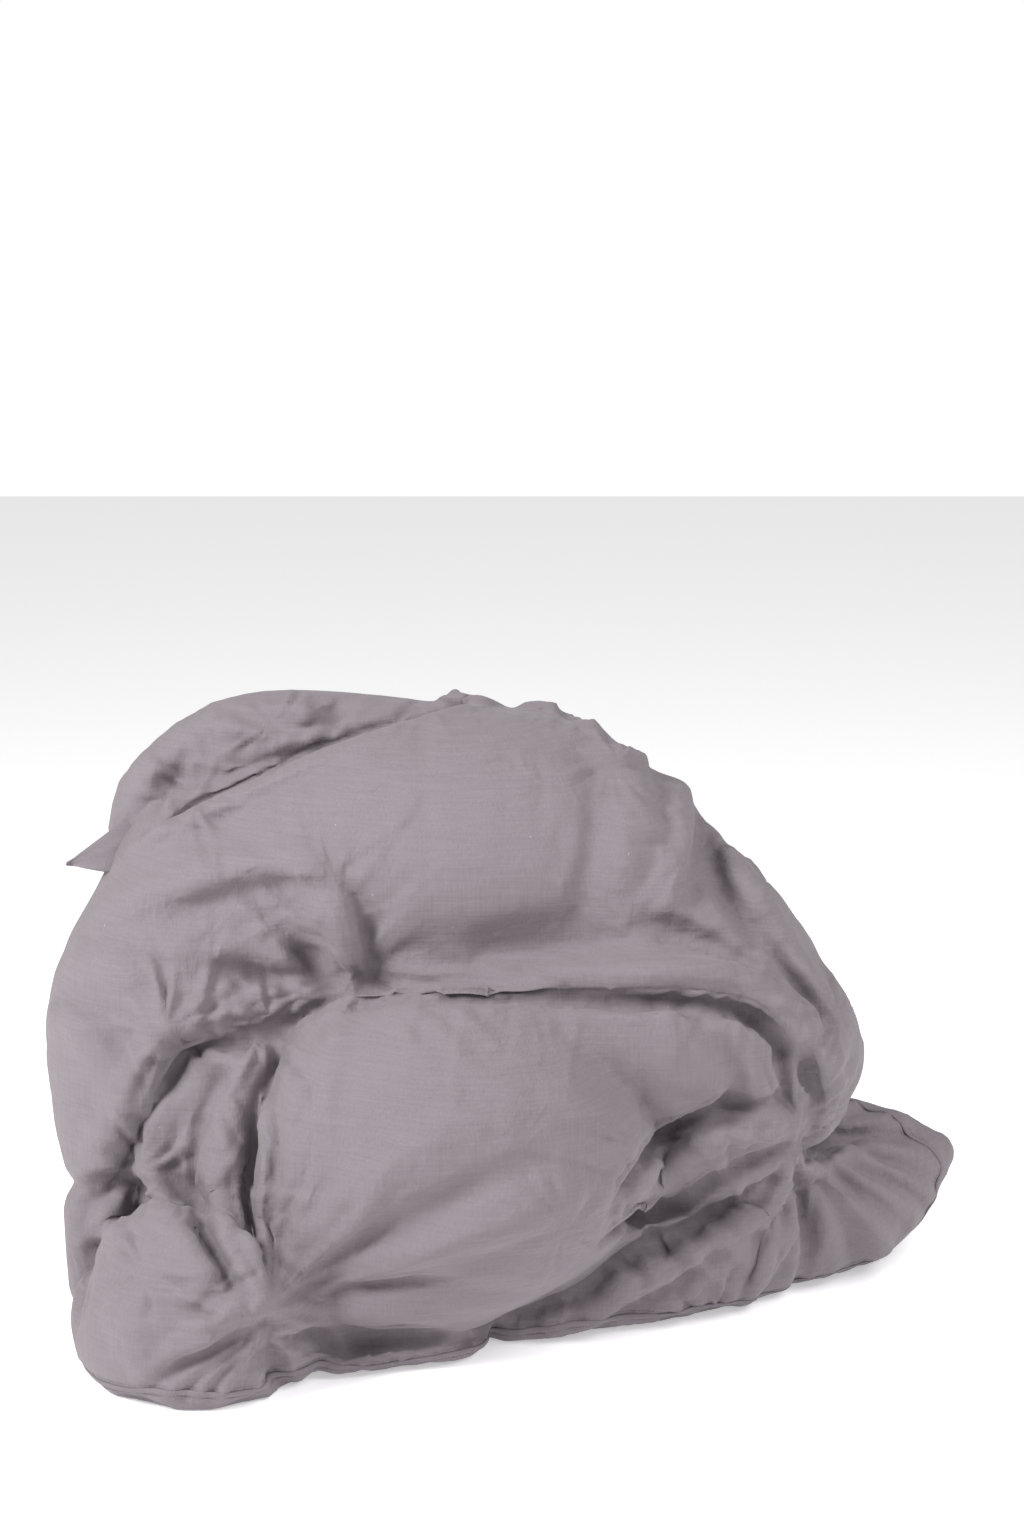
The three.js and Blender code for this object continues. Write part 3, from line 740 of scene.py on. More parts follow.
def bed_for_placket(heap):
    """A firm place on the heap's top for the placket, with nothing where the placket lies."""
    nodes = ("placket_under", "placket_over")
    graph = bpy.context.evaluated_depsgraph_get()
    bands = [BVHTree.FromObject(bpy.data.objects[node], graph) for node in nodes]
    boxes = [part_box(node) for node in nodes]
    low = Vector(map(min, *(b[0] for b in boxes)))
    high = Vector(map(max, *(b[1] for b in boxes)))
    gap = 0.004
    fade = 0.03
    depth = 0.07
    room = 0.010
    inset = 0.002
    _, (x, y, _) = heap.window(low - Vector((fade,) * 3), high + Vector((fade,) * 3))
    bottom = np.full((x.size, y.size), np.nan)
    top = np.full((x.size, y.size), np.nan)
    for i, across in enumerate(np.clip(x.ravel(), low.x + inset, high.x - inset)):
        for j, back in enumerate(np.clip(y.ravel(), low.y + inset, high.y - inset)):
            bottoms = upright_hits(bands, across, back, low.z - 0.1, 1)
            if bottoms:
                bottom[i, j] = min(bottoms)
                top[i, j] = max(upright_hits(bands, across, back, high.z + 0.1, -1))
    for grid in (bottom, top):
        columns = np.arange(grid.shape[1])
        for row in grid:
            known = ~np.isnan(row)
            if known.any():
                row[:] = np.interp(columns, columns[known], row[known])
        rows_known = ~np.isnan(grid).any(axis=1)
        lines = np.arange(grid.shape[0])
        for j in columns:
            grid[:, j] = np.interp(lines, lines[rows_known], grid[rows_known, j])
    bed_low = (low.x - fade, low.y - fade, low.z - depth)
    bed_high = (high.x + fade, high.y + fade, high.z + fade)
    where, (x, y, z) = heap.window(bed_low, bed_high)
    past_side = np.abs(x - (low.x + high.x) / 2) - (high.x - low.x) / 2
    past_end = np.abs(y - (low.y + high.y) / 2) - (high.y - low.y) / 2
    edge = np.maximum(past_side, past_end)
    floor_of_bed = (bottom - gap)[:, :, None]
    support = np.maximum(np.maximum(z - floor_of_bed, floor_of_bed - depth - z), edge)
    heap.join(where, support.astype(np.float32), 0.02)
    opening = np.maximum(np.maximum(z - (top + room)[:, :, None], floor_of_bed - z), edge - 0.003)
    heap.carve(where, opening.astype(np.float32), 0.004)


def flat_underside(heap):
    """Cuts the heap off where it lies on the floor."""
    crease = 0.012
    height = (heap.low[2] + heap.step * np.arange(heap.shape[2]))[None, None, :]
    near = np.clip(crease - np.abs(heap.values + height), 0, None) / crease
    heap.values = (np.maximum(heap.values, -height) + near * near * crease / 4).astype(np.float32)


def make_heap(detail, depth):
    """The whole heap as distances."""
    margin = 0.055
    low = (-HALF_WIDTH - margin, -FRONT - margin, -0.03)
    high = (HALF_WIDTH + margin, BACK + margin, TOP + margin + 0.03)
    heap = FoldedHeap(low, high, detail)
    heap.depth = depth
    big_shapes(heap)
    crown_folds(heap)
    twisted_folds(heap)
    belly_folds(heap)
    floor_folds(heap)
    rumpled_folds(heap)
    back_folds(heap)
    bed_for_placket(heap)
    flat_underside(heap)
    return heap


# ---------------------------------------------------------------- crisp pleats


def folded_wave(phase):
    """Straight-sided folds from -1 to 1, one for each whole step of the phase."""
    return 2 * np.abs(2 * (phase - np.floor(phase + 0.5))) - 1


def star_pleats(view, centre, reach, count, rise, seed, toward=None, spread=180):
    """Pleats that run out from a pinch, all round it or in one sector, as heights over the cloth."""
    draw = random.Random(seed)
    across = view[:, 0] - centre[0]
    up = view[:, 1] - centre[1]
    far = np.hypot(across, up)
    turn = np.arctan2(up, across)
    phase = count * turn / (2 * math.pi) + draw.random()
    phase += 0.30 * np.sin(2 * turn + draw.uniform(0, 6)) + 0.25 * np.sin(5 * turn + draw.uniform(0, 6))
    phase += 0.22 * np.sin(far * draw.uniform(25, 45) + draw.uniform(0, 6))
    lengths = 0.72 + 0.28 * np.sin(3 * turn + draw.uniform(0, 6)) * np.sin(7 * turn + draw.uniform(0, 6))
    share = far / (reach * lengths)
    strength = np.clip(far * 2 * math.pi / (count * NARROW_PLEAT), 0, 1) ** 1.5 * np.clip(1 - share, 0, 1)
    if toward is not None:
        aside = np.abs((turn - math.radians(toward) + math.pi) % (2 * math.pi) - math.pi)
        strength *= np.clip(2 - 2 * aside / math.radians(spread), 0, 1)
    return rise * strength * folded_wave(phase)


# Each star of pleats: its pinch, its reach, how many pleats there are all round, their height, and the
# way and spread of the sector that they fill, in degrees.
FRONT_STARS = (
    # pinch at the foot of the belly
    ((-0.267, 0.115), 0.20, 13, 0.0063, None, 180),
    ((-0.267, 0.115), 0.42, 27, 0.0125, 108, 46),
    ((-0.267, 0.115), 0.46, 27, 0.0050, 28, 42),
    # pinch where the belly, crown and floor layer meet on the right
    ((0.333, 0.308), 0.20, 12, 0.0075, None, 180),
    ((0.333, 0.308), 0.34, 22, 0.0100, -70, 75),
    ((0.333, 0.308), 0.24, 21, 0.0066, 195, 45),
    ((0.333, 0.308), 0.36, 26, 0.0125, -22, 70),
    # left end of the crease between crown and belly
    ((-0.165, 0.487), 0.17, 8, 0.0030, None, 180),
    ((-0.165, 0.487), 0.36, 24, 0.0066, 172, 45),
    ((-0.165, 0.487), 0.26, 26, 0.0044, 330, 40),
    # head of the crown's pleat
    ((-0.203, 0.591), 0.14, 6, 0.0020, None, 180),
    ((-0.203, 0.591), 0.24, 19, 0.0050, 190, 40),
    # ragged edge on the left
    ((-0.389, 0.420), 0.15, 8, 0.0080, None, 180),
    ((-0.426, 0.256), 0.13, 7, 0.0080, None, 180),
    ((-0.277, 0.420), 0.13, 7, 0.0075, None, 180),
    # right end of the belly and the layer under it
    ((0.147, 0.293), 0.15, 8, 0.0040, None, 180),
    ((0.058, 0.197), 0.13, 7, 0.0035, None, 180),
    ((0.236, 0.078), 0.15, 7, 0.0069, None, 180),
    # top and right of the crown
    ((0.117, 0.725), 0.10, 7, 0.0057, None, 180),
    ((0.117, 0.725), 0.30, 24, 0.0050, -62, 38),
    ((0.206, 0.620), 0.14, 7, 0.0040, None, 180),
    ((0.378, 0.435), 0.16, 8, 0.0045, None, 180),
    # rumpled layer
    ((-0.366, 0.688), 0.12, 7, 0.0069, None, 180),
    ((-0.106, 0.807), 0.11, 7, 0.0063, None, 180),
    ((-0.280, 0.770), 0.10, 7, 0.0057, None, 180),
    # floor layer on the left
    ((-0.267, 0.100), 0.26, 22, 0.0095, 200, 60),
    ((-0.400, 0.150), 0.12, 7, 0.0052, None, 180),
)
BACK_STARS = (
    ((-0.30, 0.28), 0.22, 10, 0.0080, None, 180),
    ((0.05, 0.30), 0.24, 10, 0.0080, None, 180),
    ((0.26, 0.42), 0.20, 9, 0.0075, None, 180),
    ((-0.12, 0.06), 0.22, 10, 0.0075, None, 180),
    ((0.22, 0.14), 0.20, 9, 0.0075, None, 180),
    ((-0.40, 0.46), 0.18, 8, 0.0075, None, 180),
)
# The furthest that pleats push a point of the cloth out or in.
PLEAT_LIMIT = 0.012
# Pleats narrower than this fade out towards the pinch.
NARROW_PLEAT = 0.034
# Share of a fold's height that its sharp crest adds.
CREASE_SHARE = 0.6


def crease_heights(view, creases):
    """Heights of straight-sided creases along lines: steep on one side, easy on the other."""
    heights = np.zeros(len(view))
    for number, (line, width, rise, open_end) in enumerate(creases):
        steep = width * 1.1
        easy = width * 3.2
        low = line.min(0) - easy
        high = line.max(0) + easy
        near = np.nonzero(((view > low) & (view < high)).all(axis=1))[0]
        if not len(near):
            continue
        here = view[near]
        best = np.full(len(near), 9.0)
        aside = np.zeros(len(near))
        along = np.zeros(len(near))
        for k, (start, stop) in enumerate(zip(line[:-1], line[1:])):
            way = stop - start
            length = max(float(np.hypot(*way)), 1e-6)
            t = np.clip(((here - start) @ way) / length**2, 0, 1)
            gap = here - start - t[:, None] * way
            far = np.hypot(gap[:, 0], gap[:, 1])
            closer = far < best
            side = (way[0] * gap[:, 1] - way[1] * gap[:, 0]) / length
            best = np.where(closer, far, best)
            aside = np.where(closer, side, aside)
            along = np.where(closer, (k + t) / (len(line) - 1), along)
        turned = 1 if number % 2 else -1
        reach = np.where(aside * turned > 0, steep, steep + (easy - steep) * np.sin(math.pi * along))
        fade = np.sin(math.pi * np.clip(along, 0, 1) ** (0.5 if open_end else 1))
        heights[near] += rise * np.clip(1 - best / reach, 0, 1) * fade
    return heights


def crisp_pleats(points, outs, heap):
    """How far each point of the cloth stands out in straight-sided pleats, on the front and the back."""
    toward_front = outs @ np.array([0, -UP_Z, UP_Y])
    seen_up = points[:, 2] * UP_Z + (points[:, 1] + FRONT) * UP_Y
    views = (
        (FRONT_STARS, np.stack([points[:, 0], seen_up], axis=1), np.clip(toward_front / 0.4, 0, 1)),
        (BACK_STARS, np.stack([points[:, 0], points[:, 2]], axis=1), np.clip((outs[:, 1] - 0.1) / 0.4, 0, 1)),
    )
    total = np.zeros(len(points))
    for number, (stars, view, weight) in enumerate(views):
        creases = [crease[1:] for crease in heap.creases if crease[0] == bool(number)]
        heights = crease_heights(view, creases) * CREASE_SHARE
        for seed, (centre, reach, count, rise, toward, spread) in enumerate(stars):
            heights += star_pleats(view, centre, reach, count, rise, 100 * number + seed, toward, spread)
        total += np.clip(heights, -PLEAT_LIMIT, PLEAT_LIMIT) * weight
    return total * heap.depth


# ---------------------------------------------------------------- finishes


def new_group(name, inputs, outputs):
    """An empty shader group with those number inputs and outputs."""
    group = bpy.data.node_groups.new(name, "ShaderNodeTree")
    for label, value in inputs:
        socket = group.interface.new_socket(label, in_out="INPUT", socket_type="NodeSocketFloat")
        socket.default_value = value
    for label in outputs:
        group.interface.new_socket(label, in_out="OUTPUT", socket_type="NodeSocketFloat")
    return group, group.nodes.new("NodeGroupInput"), group.nodes.new("NodeGroupOutput")


def maths(tree, kind, first, second=0.0, third=None):
    """One sum on numbers or other nodes' outputs."""
    node = tree.nodes.new("ShaderNodeMath")
    node.operation = kind
    for socket, value in zip(node.inputs, (first, second, third)):
        if value is None:
            continue
        if isinstance(value, (int, float)):
            socket.default_value = value
        else:
            tree.links.new(value, socket)
    return node.outputs[0]


def stretched_place(tree, scale):
    """The piece's own coordinates, stretched along its axes."""
    place = tree.nodes.new("ShaderNodeTexCoord")
    mapping = tree.nodes.new("ShaderNodeMapping")
    mapping.inputs["Scale"].default_value = scale
    tree.links.new(place.outputs["Object"], mapping.inputs["Vector"])
    return mapping.outputs["Vector"]


def noise_node(tree, place, scale, detail=2.0, roughness=0.5, distortion=0.0):
    """A noise at that many ups and downs per metre."""
    node = tree.nodes.new("ShaderNodeTexNoise")
    node.inputs["Detail"].default_value = detail
    node.inputs["Roughness"].default_value = roughness
    node.inputs["Distortion"].default_value = distortion
    tree.links.new(place, node.inputs["Vector"])
    if isinstance(scale, (int, float)):
        node.inputs["Scale"].default_value = scale
    else:
        tree.links.new(scale, node.inputs["Scale"])
    return node.outputs["Fac"]


def slub_weave_group():
    """Thick and thin yarns of a plain weave, along and across, and the fine grain between them."""
    group, given, put = new_group("Slub weave", [("Yarns per metre", 420.0)], ["Height", "Tone"])
    yarns = given.outputs["Yarns per metre"]
    down = noise_node(group, stretched_place(group, (1.0, 1.0, 0.045)), yarns, 1.0)
    across = noise_node(group, stretched_place(group, (0.045, 0.045, 1.0)), yarns, 1.0)
    grain = noise_node(
        group, stretched_place(group, (1.0, 1.0, 1.0)), maths(group, "MULTIPLY", yarns, 2.2), 1.0,
    )
    both = maths(group, "ADD", down, across)
    tone = maths(group, "MULTIPLY_ADD", grain, 0.6, both)
    centred = maths(group, "SUBTRACT", tone, 1.3)
    group.links.new(maths(group, "ADD", centred, 0.5), put.inputs["Tone"])
    group.links.new(tone, put.inputs["Height"])
    return group


def cloth_wrinkle_group():
    """Sharp small wrinkles of crisp cotton at two sizes, in patches."""
    inputs = [("Wrinkles per metre", 16.0), ("Patches per metre", 5.0)]
    group, given, put = new_group("Cloth wrinkles", inputs, ["Height"])
    place = stretched_place(group, (1.0, 1.0, 1.0))
    size = given.outputs["Wrinkles per metre"]
    coarse = noise_node(group, place, size, 2.0, 0.45, 0.6)
    fine = noise_node(group, place, maths(group, "MULTIPLY", size, 2.7), 2.0, 0.5, 0.4)
    patches = noise_node(group, place, given.outputs["Patches per metre"], 1.0)
    creases = []
    for source in (coarse, fine):
        folded = maths(group, "ABSOLUTE", maths(group, "SUBTRACT", source, 0.5))
        sharp = maths(group, "MINIMUM", maths(group, "MULTIPLY", folded, 5.0), 1.0)
        creases.append(maths(group, "SUBTRACT", 1.0, sharp))
    here = maths(
        group, "MULTIPLY", maths(group, "MAXIMUM", maths(group, "SUBTRACT", patches, 0.38), 0.0), 4.0,
    )
    total = maths(group, "MULTIPLY_ADD", creases[1], 0.35, creases[0])
    group.links.new(maths(group, "MULTIPLY", total, maths(group, "MINIMUM", here, 1.0)), put.inputs["Height"])
    return group


def washed_tone_group():
    """Slow light and dark places of a cloth that has been washed."""
    group, given, put = new_group("Washed tone", [("Places per metre", 6.0)], ["Tone"])
    place = stretched_place(group, (1.0, 1.0, 1.0))
    slow = noise_node(group, place, given.outputs["Places per metre"], 3.0, 0.6)
    group.links.new(slow, put.inputs["Tone"])
    return group


def lint_group():
    """Tiny specks of lint, one here and there."""
    group, given, put = new_group(
        "Lint specks", [("Specks per metre", 45.0), ("Speck size", 0.045)], ["Mask"],
    )
    cells = group.nodes.new("ShaderNodeTexVoronoi")
    group.links.new(stretched_place(group, (1.0, 1.0, 1.0)), cells.inputs["Vector"])
    group.links.new(given.outputs["Specks per metre"], cells.inputs["Scale"])
    split = group.nodes.new("ShaderNodeSeparateColor")
    group.links.new(cells.outputs["Color"], split.inputs["Color"])
    chosen = maths(group, "GREATER_THAN", split.outputs[0], 0.9)
    near = maths(group, "LESS_THAN", cells.outputs["Distance"], given.outputs["Speck size"])
    group.links.new(maths(group, "MULTIPLY", chosen, near), put.inputs["Mask"])
    return group


def twill_group():
    """Slanting ribs of twill."""
    group, given, put = new_group("Twill ribs", [("Ribs per metre", 500.0)], ["Height"])
    wave = group.nodes.new("ShaderNodeTexWave")
    wave.bands_direction = "DIAGONAL"
    wave.inputs["Distortion"].default_value = 0.6
    group.links.new(stretched_place(group, (1.0, 1.0, 1.0)), wave.inputs["Vector"])
    group.links.new(given.outputs["Ribs per metre"], wave.inputs["Scale"])
    group.links.new(wave.outputs["Fac"], put.inputs["Height"])
    return group


def fuzz_group():
    """Soft clumps and fine hairs of down."""
    group, given, put = new_group("Down fuzz", [("Clumps per metre", 90.0)], ["Height", "Tone"])
    place = stretched_place(group, (1.0, 1.0, 1.0))
    clumps = noise_node(group, place, given.outputs["Clumps per metre"], 6.0, 0.7, 1.2)
    group.links.new(clumps, put.inputs["Height"])
    group.links.new(clumps, put.inputs["Tone"])
    return group


GROUP_MAKERS = {
    "Slub weave": slub_weave_group,
    "Cloth wrinkles": cloth_wrinkle_group,
    "Washed tone": washed_tone_group,
    "Lint specks": lint_group,
    "Twill ribs": twill_group,
    "Down fuzz": fuzz_group,
}


def placed(tree, name, **values):
    """One of the shared groups, placed in a material with its own values."""
    node = tree.nodes.new("ShaderNodeGroup")
    node.node_tree = bpy.data.node_groups.get(name) or GROUP_MAKERS[name]()
    for label, value in values.items():
        node.inputs[label.replace("_", " ")].default_value = value
    return node


def shades(tree, amount, dark, light):
    """A colour between dark and light, by an amount that varies round a half."""
    mix = tree.nodes.new("ShaderNodeMix")
    mix.data_type = "RGBA"
    mix.inputs["A"].default_value = (*dark, 1)
    mix.inputs["B"].default_value = (*light, 1)
    tree.links.new(amount, mix.inputs["Factor"])
    return mix.outputs["Result"]


def over(tree, mask, below, colour):
    """A colour laid over another where the mask is 1."""
    mix = tree.nodes.new("ShaderNodeMix")
    mix.data_type = "RGBA"
    tree.links.new(below, mix.inputs["A"])
    mix.inputs["B"].default_value = (*colour, 1)
    tree.links.new(mask, mix.inputs["Factor"])
    return mix.outputs["Result"]


def bump(tree, height, depth, below=None):
    """Relief of that depth in metres, on top of the relief below."""
    node = tree.nodes.new("ShaderNodeBump")
    node.inputs["Strength"].default_value = 1.0
    node.inputs["Distance"].default_value = depth
    tree.links.new(height, node.inputs["Height"])
    if below is not None:
        tree.links.new(below, node.inputs["Normal"])
    return node.outputs["Normal"]


def new_finish(name, roughness, sheen):
    """A material with its shader, its roughness and its sheen."""
    material = bpy.data.materials.new(name)
    material.use_nodes = True
    shader = material.node_tree.nodes["Principled BSDF"]
    shader.inputs["Roughness"].default_value = roughness
    shader.inputs["Sheen Weight"].default_value = sheen
    shader.inputs["Sheen Roughness"].default_value = 0.5
    shader.inputs["Specular IOR Level"].default_value = 0.25
    return material, material.node_tree, shader


def tinted(colour, share):
    """A colour made lighter or darker by a share."""
    return tuple(min(1.0, channel * share) for channel in colour)


def colour_by_tone(tree, shader, tone, colour, dark, light):
    """Lets a tone run the shader's colour from a darker share of a colour to a lighter one."""
    shaded = shades(tree, tone, tinted(colour, dark), tinted(colour, light))
    tree.links.new(shaded, shader.inputs["Base Color"])


def percale(name, colour, wrinkle_depth):
    """Crisp cotton percale: slubby plain weave, small wrinkles, washed tone and lint."""
    material, tree, shader = new_finish(name, 0.88, 0.12)
    weave = placed(tree, "Slub weave", Yarns_per_metre=420.0)
    wrinkles = placed(tree, "Cloth wrinkles", Wrinkles_per_metre=16.0, Patches_per_metre=5.0)
    washed = placed(tree, "Washed tone", Places_per_metre=6.0)
    lint = placed(tree, "Lint specks", Specks_per_metre=45.0, Speck_size=0.045)
    yarns = maths(tree, "MULTIPLY", weave.outputs["Tone"], 0.65)
    tone = maths(tree, "MULTIPLY_ADD", washed.outputs["Tone"], 0.35, yarns)
    cloth = shades(tree, tone, tinted(colour, 0.84), tinted(colour, 1.16))
    tree.links.new(over(tree, lint.outputs["Mask"], cloth, tinted(colour, 1.9)), shader.inputs["Base Color"])
    relief = bump(tree, wrinkles.outputs["Height"], wrinkle_depth)
    tree.links.new(bump(tree, weave.outputs["Height"], 0.0005, relief), shader.inputs["Normal"])
    rough = maths(tree, "MULTIPLY_ADD", weave.outputs["Tone"], 0.12, 0.82)
    tree.links.new(rough, shader.inputs["Roughness"])
    return material


def ticking_cloth(colour):
    """Smooth downproof cotton, closely woven."""
    material, tree, shader = new_finish("downproof ticking", 0.7, 0.1)
    weave = placed(tree, "Slub weave", Yarns_per_metre=900.0)
    wrinkles = placed(tree, "Cloth wrinkles", Wrinkles_per_metre=24.0, Patches_per_metre=8.0)
    colour_by_tone(tree, shader, weave.outputs["Tone"], colour, 0.92, 1.06)
    relief = bump(tree, wrinkles.outputs["Height"], 0.0015)
    tree.links.new(bump(tree, weave.outputs["Height"], 0.0002, relief), shader.inputs["Normal"])
    return material


def loose_down(colour):
    """Loose white down."""
    material, tree, shader = new_finish("loose down", 0.95, 0.4)
    fuzz = placed(tree, "Down fuzz", Clumps_per_metre=90.0)
    colour_by_tone(tree, shader, fuzz.outputs["Tone"], colour, 0.8, 1.07)
    tree.links.new(bump(tree, fuzz.outputs["Height"], 0.004), shader.inputs["Normal"])
    return material


def twill_tape(colour):
    """Cotton twill tape."""
    material, tree, shader = new_finish("twill tape", 0.85, 0.1)
    ribs = placed(tree, "Twill ribs", Ribs_per_metre=500.0)
    washed = placed(tree, "Washed tone", Places_per_metre=30.0)
    colour_by_tone(tree, shader, washed.outputs["Tone"], colour, 0.85, 1.12)
    tree.links.new(bump(tree, ribs.outputs["Height"], 0.0003), shader.inputs["Normal"])
    return material


def sewing_thread(colour):
    """Twisted cotton thread."""
    material, tree, shader = new_finish("sewing thread", 0.7, 0.2)
    ribs = placed(tree, "Twill ribs", Ribs_per_metre=2200.0)
    colour_by_tone(tree, shader, ribs.outputs["Height"], colour, 0.75, 1.2)
    tree.links.new(bump(tree, ribs.outputs["Height"], 0.0001), shader.inputs["Normal"])
    return material


def shell_button(colour):
    """Polished shell with slow bands of tone and a clear gloss."""
    material, tree, shader = new_finish("shell button", 0.32, 0.0)
    washed = placed(tree, "Washed tone", Places_per_metre=160.0)
    shader.inputs["Coat Weight"].default_value = 0.4
    shader.inputs["Coat Roughness"].default_value = 0.12
    colour_by_tone(tree, shader, washed.outputs["Tone"], colour, 0.7, 1.5)
    rough = maths(tree, "MULTIPLY_ADD", washed.outputs["Tone"], 0.25, 0.2)
    tree.links.new(rough, shader.inputs["Roughness"])
    tree.links.new(bump(tree, washed.outputs["Tone"], 0.0002), shader.inputs["Normal"])
    return material


def floor_paint(colour):
    """Plain pale floor."""
    material, tree, shader = new_finish("pale floor", 0.9, 0.0)
    shader.inputs["Emission Color"].default_value = (*colour, 1)
    shader.inputs["Emission Strength"].default_value = 0.4
    washed = placed(tree, "Washed tone", Places_per_metre=1.5)
    colour_by_tone(tree, shader, washed.outputs["Tone"], colour, 0.995, 1.005)
    return material


def finish(kind):
    """The material of one kind, made the first time that it is asked for."""
    colours = sizes("colours")
    makers = {
        "cover percale": lambda: percale("cover percale", tuple(colours.cover), 0.0015),
        "seam percale": lambda: percale("seam percale", tinted(tuple(colours.cover), 0.94), 0.0012),
        "downproof ticking": lambda: ticking_cloth(tuple(colours.ticking)),
        "loose down": lambda: loose_down(tuple(colours.down)),
        "twill tape": lambda: twill_tape(tuple(colours.tape)),
        "sewing thread": lambda: sewing_thread(tuple(colours.thread)),
        "shell button": lambda: shell_button(tuple(colours.button)),
        "pale floor": lambda: floor_paint(tuple(sizes("stage").floor_colour)),
    }
    return bpy.data.materials.get(kind) or makers[kind]()


# ---------------------------------------------------------------- cover


def seam_depth(across, height):
    """How far back the seam between the face and the back of the cover runs."""
    fade = 0.2
    right = np.clip((across - 0.28) / fade, 0, 1)
    low = np.clip((0.42 - height) / fade, 0, 1)
    wave = 0.006 * np.sin(9 * across + 13 * height)
    toward_side = 0.016 * np.clip(np.abs(across) / HALF_WIDTH, 0, 1)
    return 0.146 - toward_side - 0.045 * right * low + wave


def hem_height(across, back):
    """How high above the floor the head seam runs along the front."""
    return 0.020 + 0.005 * np.sin(14 * across) + 0.003 * np.sin(37 * across + 9 * back)


def settle(skin):
    """Lets the skin take up its spare cloth in small wrinkles, and keeps each point near its place."""
    heap_sizes = sizes("heap")
    before = points_of(skin.data)
    cloth = skin.modifiers.new("Cloth", "CLOTH")
    feel = cloth.settings
    feel.quality = 4
    feel.mass = 0.15
    feel.tension_stiffness = 15
    feel.compression_stiffness = 15
    feel.shear_stiffness = 5
    feel.bending_stiffness = 0.3
    feel.tension_damping = 5
    feel.compression_damping = 5
    feel.shear_damping = 5
    feel.bending_damping = 0.5
    feel.air_damping = 8
    feel.use_pressure = True
    feel.uniform_pressure_force = 1.5
    feel.shrink_min = -heap_sizes.spare_cloth
    feel.effector_weights.gravity = 0.05
    cloth.collision_settings.use_collision = False
    cloth.collision_settings.use_self_collision = False
    held = skin.vertex_groups.new(name="on the floor")
    held.add([int(i) for i in np.nonzero(before[:, 2] < 0.004)[0]], 1.0, "REPLACE")
    feel.vertex_group_mass = held.name
    cloth.point_cache.frame_start = 1
    cloth.point_cache.frame_end = heap_sizes.settle_frames
    for step in range(1, heap_sizes.settle_frames + 1):
        bpy.context.scene.frame_set(step)
    mesh = settled_mesh(skin)
    bpy.context.scene.frame_set(1)
    move = points_of(mesh) - before
    far = np.linalg.norm(move, axis=1, keepdims=True)
    move *= np.minimum(1, heap_sizes.settle_limit / np.maximum(far, 1e-9))
    move *= near_placket(before)[:, None]
    after = before + move
    after[:, 2] = np.maximum(after[:, 2], 0)
    set_points(mesh, after)
    skin.vertex_groups.clear()


def near_placket(points):
    """1 away from the placket, falling to 0 beside it."""
    low, high = (np.array(corner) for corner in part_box("placket_over"))
    far = np.linalg.norm(np.maximum(np.maximum(low - points, points - high), 0), axis=1)
    return np.clip((far - 0.012) / 0.03, 0, 1)


def pleat(mesh, heap):
    """Presses the crisp pleats into the skin, but not on the floor or under the placket."""
    before = points_of(mesh)
    outs = normals_of(mesh)
    height = crisp_pleats(before, outs, heap) * near_placket(before) * np.clip(before[:, 2] / 0.03, 0, 1)
    after = before + outs * height[:, None]
    after[:, 2] = np.maximum(after[:, 2], 0)
    set_points(mesh, after)


def cut_level(mesh, column, level_of):
    """Cuts a mesh where one coordinate passes a level that varies with the place."""
    points = points_of(mesh)
    points[:, column] -= level_of(points)
    set_points(mesh, points)
    way = [0, 0, 0]
    way[column] = 1
    shape = bmesh.new()
    shape.from_mesh(mesh)
    everything = list(shape.verts) + list(shape.edges) + list(shape.faces)
    bmesh.ops.bisect_plane(shape, geom=everything, dist=1e-5, plane_co=(0, 0, 0), plane_no=way)
    shape.to_mesh(mesh)
    shape.free()
    points = points_of(mesh)
    points[:, column] += level_of(points)
    set_points(mesh, points)


def split_skin(mesh):
    """Cuts the skin along the seam and the hem, into the face panel and the back panel."""
    cut_level(mesh, 1, lambda p: seam_depth(p[:, 0], p[:, 2]))
    cut_level(mesh, 2, lambda p: hem_height(p[:, 0], p[:, 1]))
    middles = np.empty(len(mesh.polygons) * 3, np.float32)
    mesh.polygons.foreach_get("center", middles)
    x, y, z = middles.reshape(-1, 3).T
    in_front = (y < seam_depth(x, z)) & (z > hem_height(x, y))
    panels = []
    for name, wanted in (("face panel", True), ("back panel", False)):
        part = bmesh.new()
        part.from_mesh(mesh)
        drop = [face for face, here in zip(part.faces, in_front.tolist()) if here != wanted]
        bmesh.ops.delete(part, geom=drop, context="FACES")
        panel = bpy.data.meshes.new(name)
        part.to_mesh(panel)
        part.free()
        panels.append(panel)
    return panels


WORKBENCH = {}


def make_cover():
    """The cover's face and back panels, split from one settled skin."""
    heap_sizes = sizes("heap")
    heap = make_heap(heap_sizes.detail, heap_sizes.fold_depth)
    WORKBENCH["heap"] = heap
    points, quads = heap.skin()
    skin = add_piece("skin", mesh_from("skin", points, quads), finish("cover percale"))
    if normals_of(skin.data)[int(np.argmax(points[:, 2]))][2] < 0:
        raise RuntimeError("the skin is inside out")
    settle(skin)
    finer = skin.modifiers.new("Finer", "SUBSURF")
    finer.levels = 1
    finer.render_levels = 1
    mesh = settled_mesh(skin)
    pleat(mesh, heap)
    WORKBENCH["skin"] = tree_of(mesh)
    face, back = split_skin(mesh)
    bpy.data.objects.remove(skin)
    for name, panel, node in (
        ("face_panel_cloth", face, "cover_face_panel"),
        ("back_panel_cloth", back, "cover_back_panel"),
    ):
        piece = add_piece(name, panel, finish("cover percale"))
        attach(piece, "heap")
        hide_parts(node)


# ---------------------------------------------------------------- seams


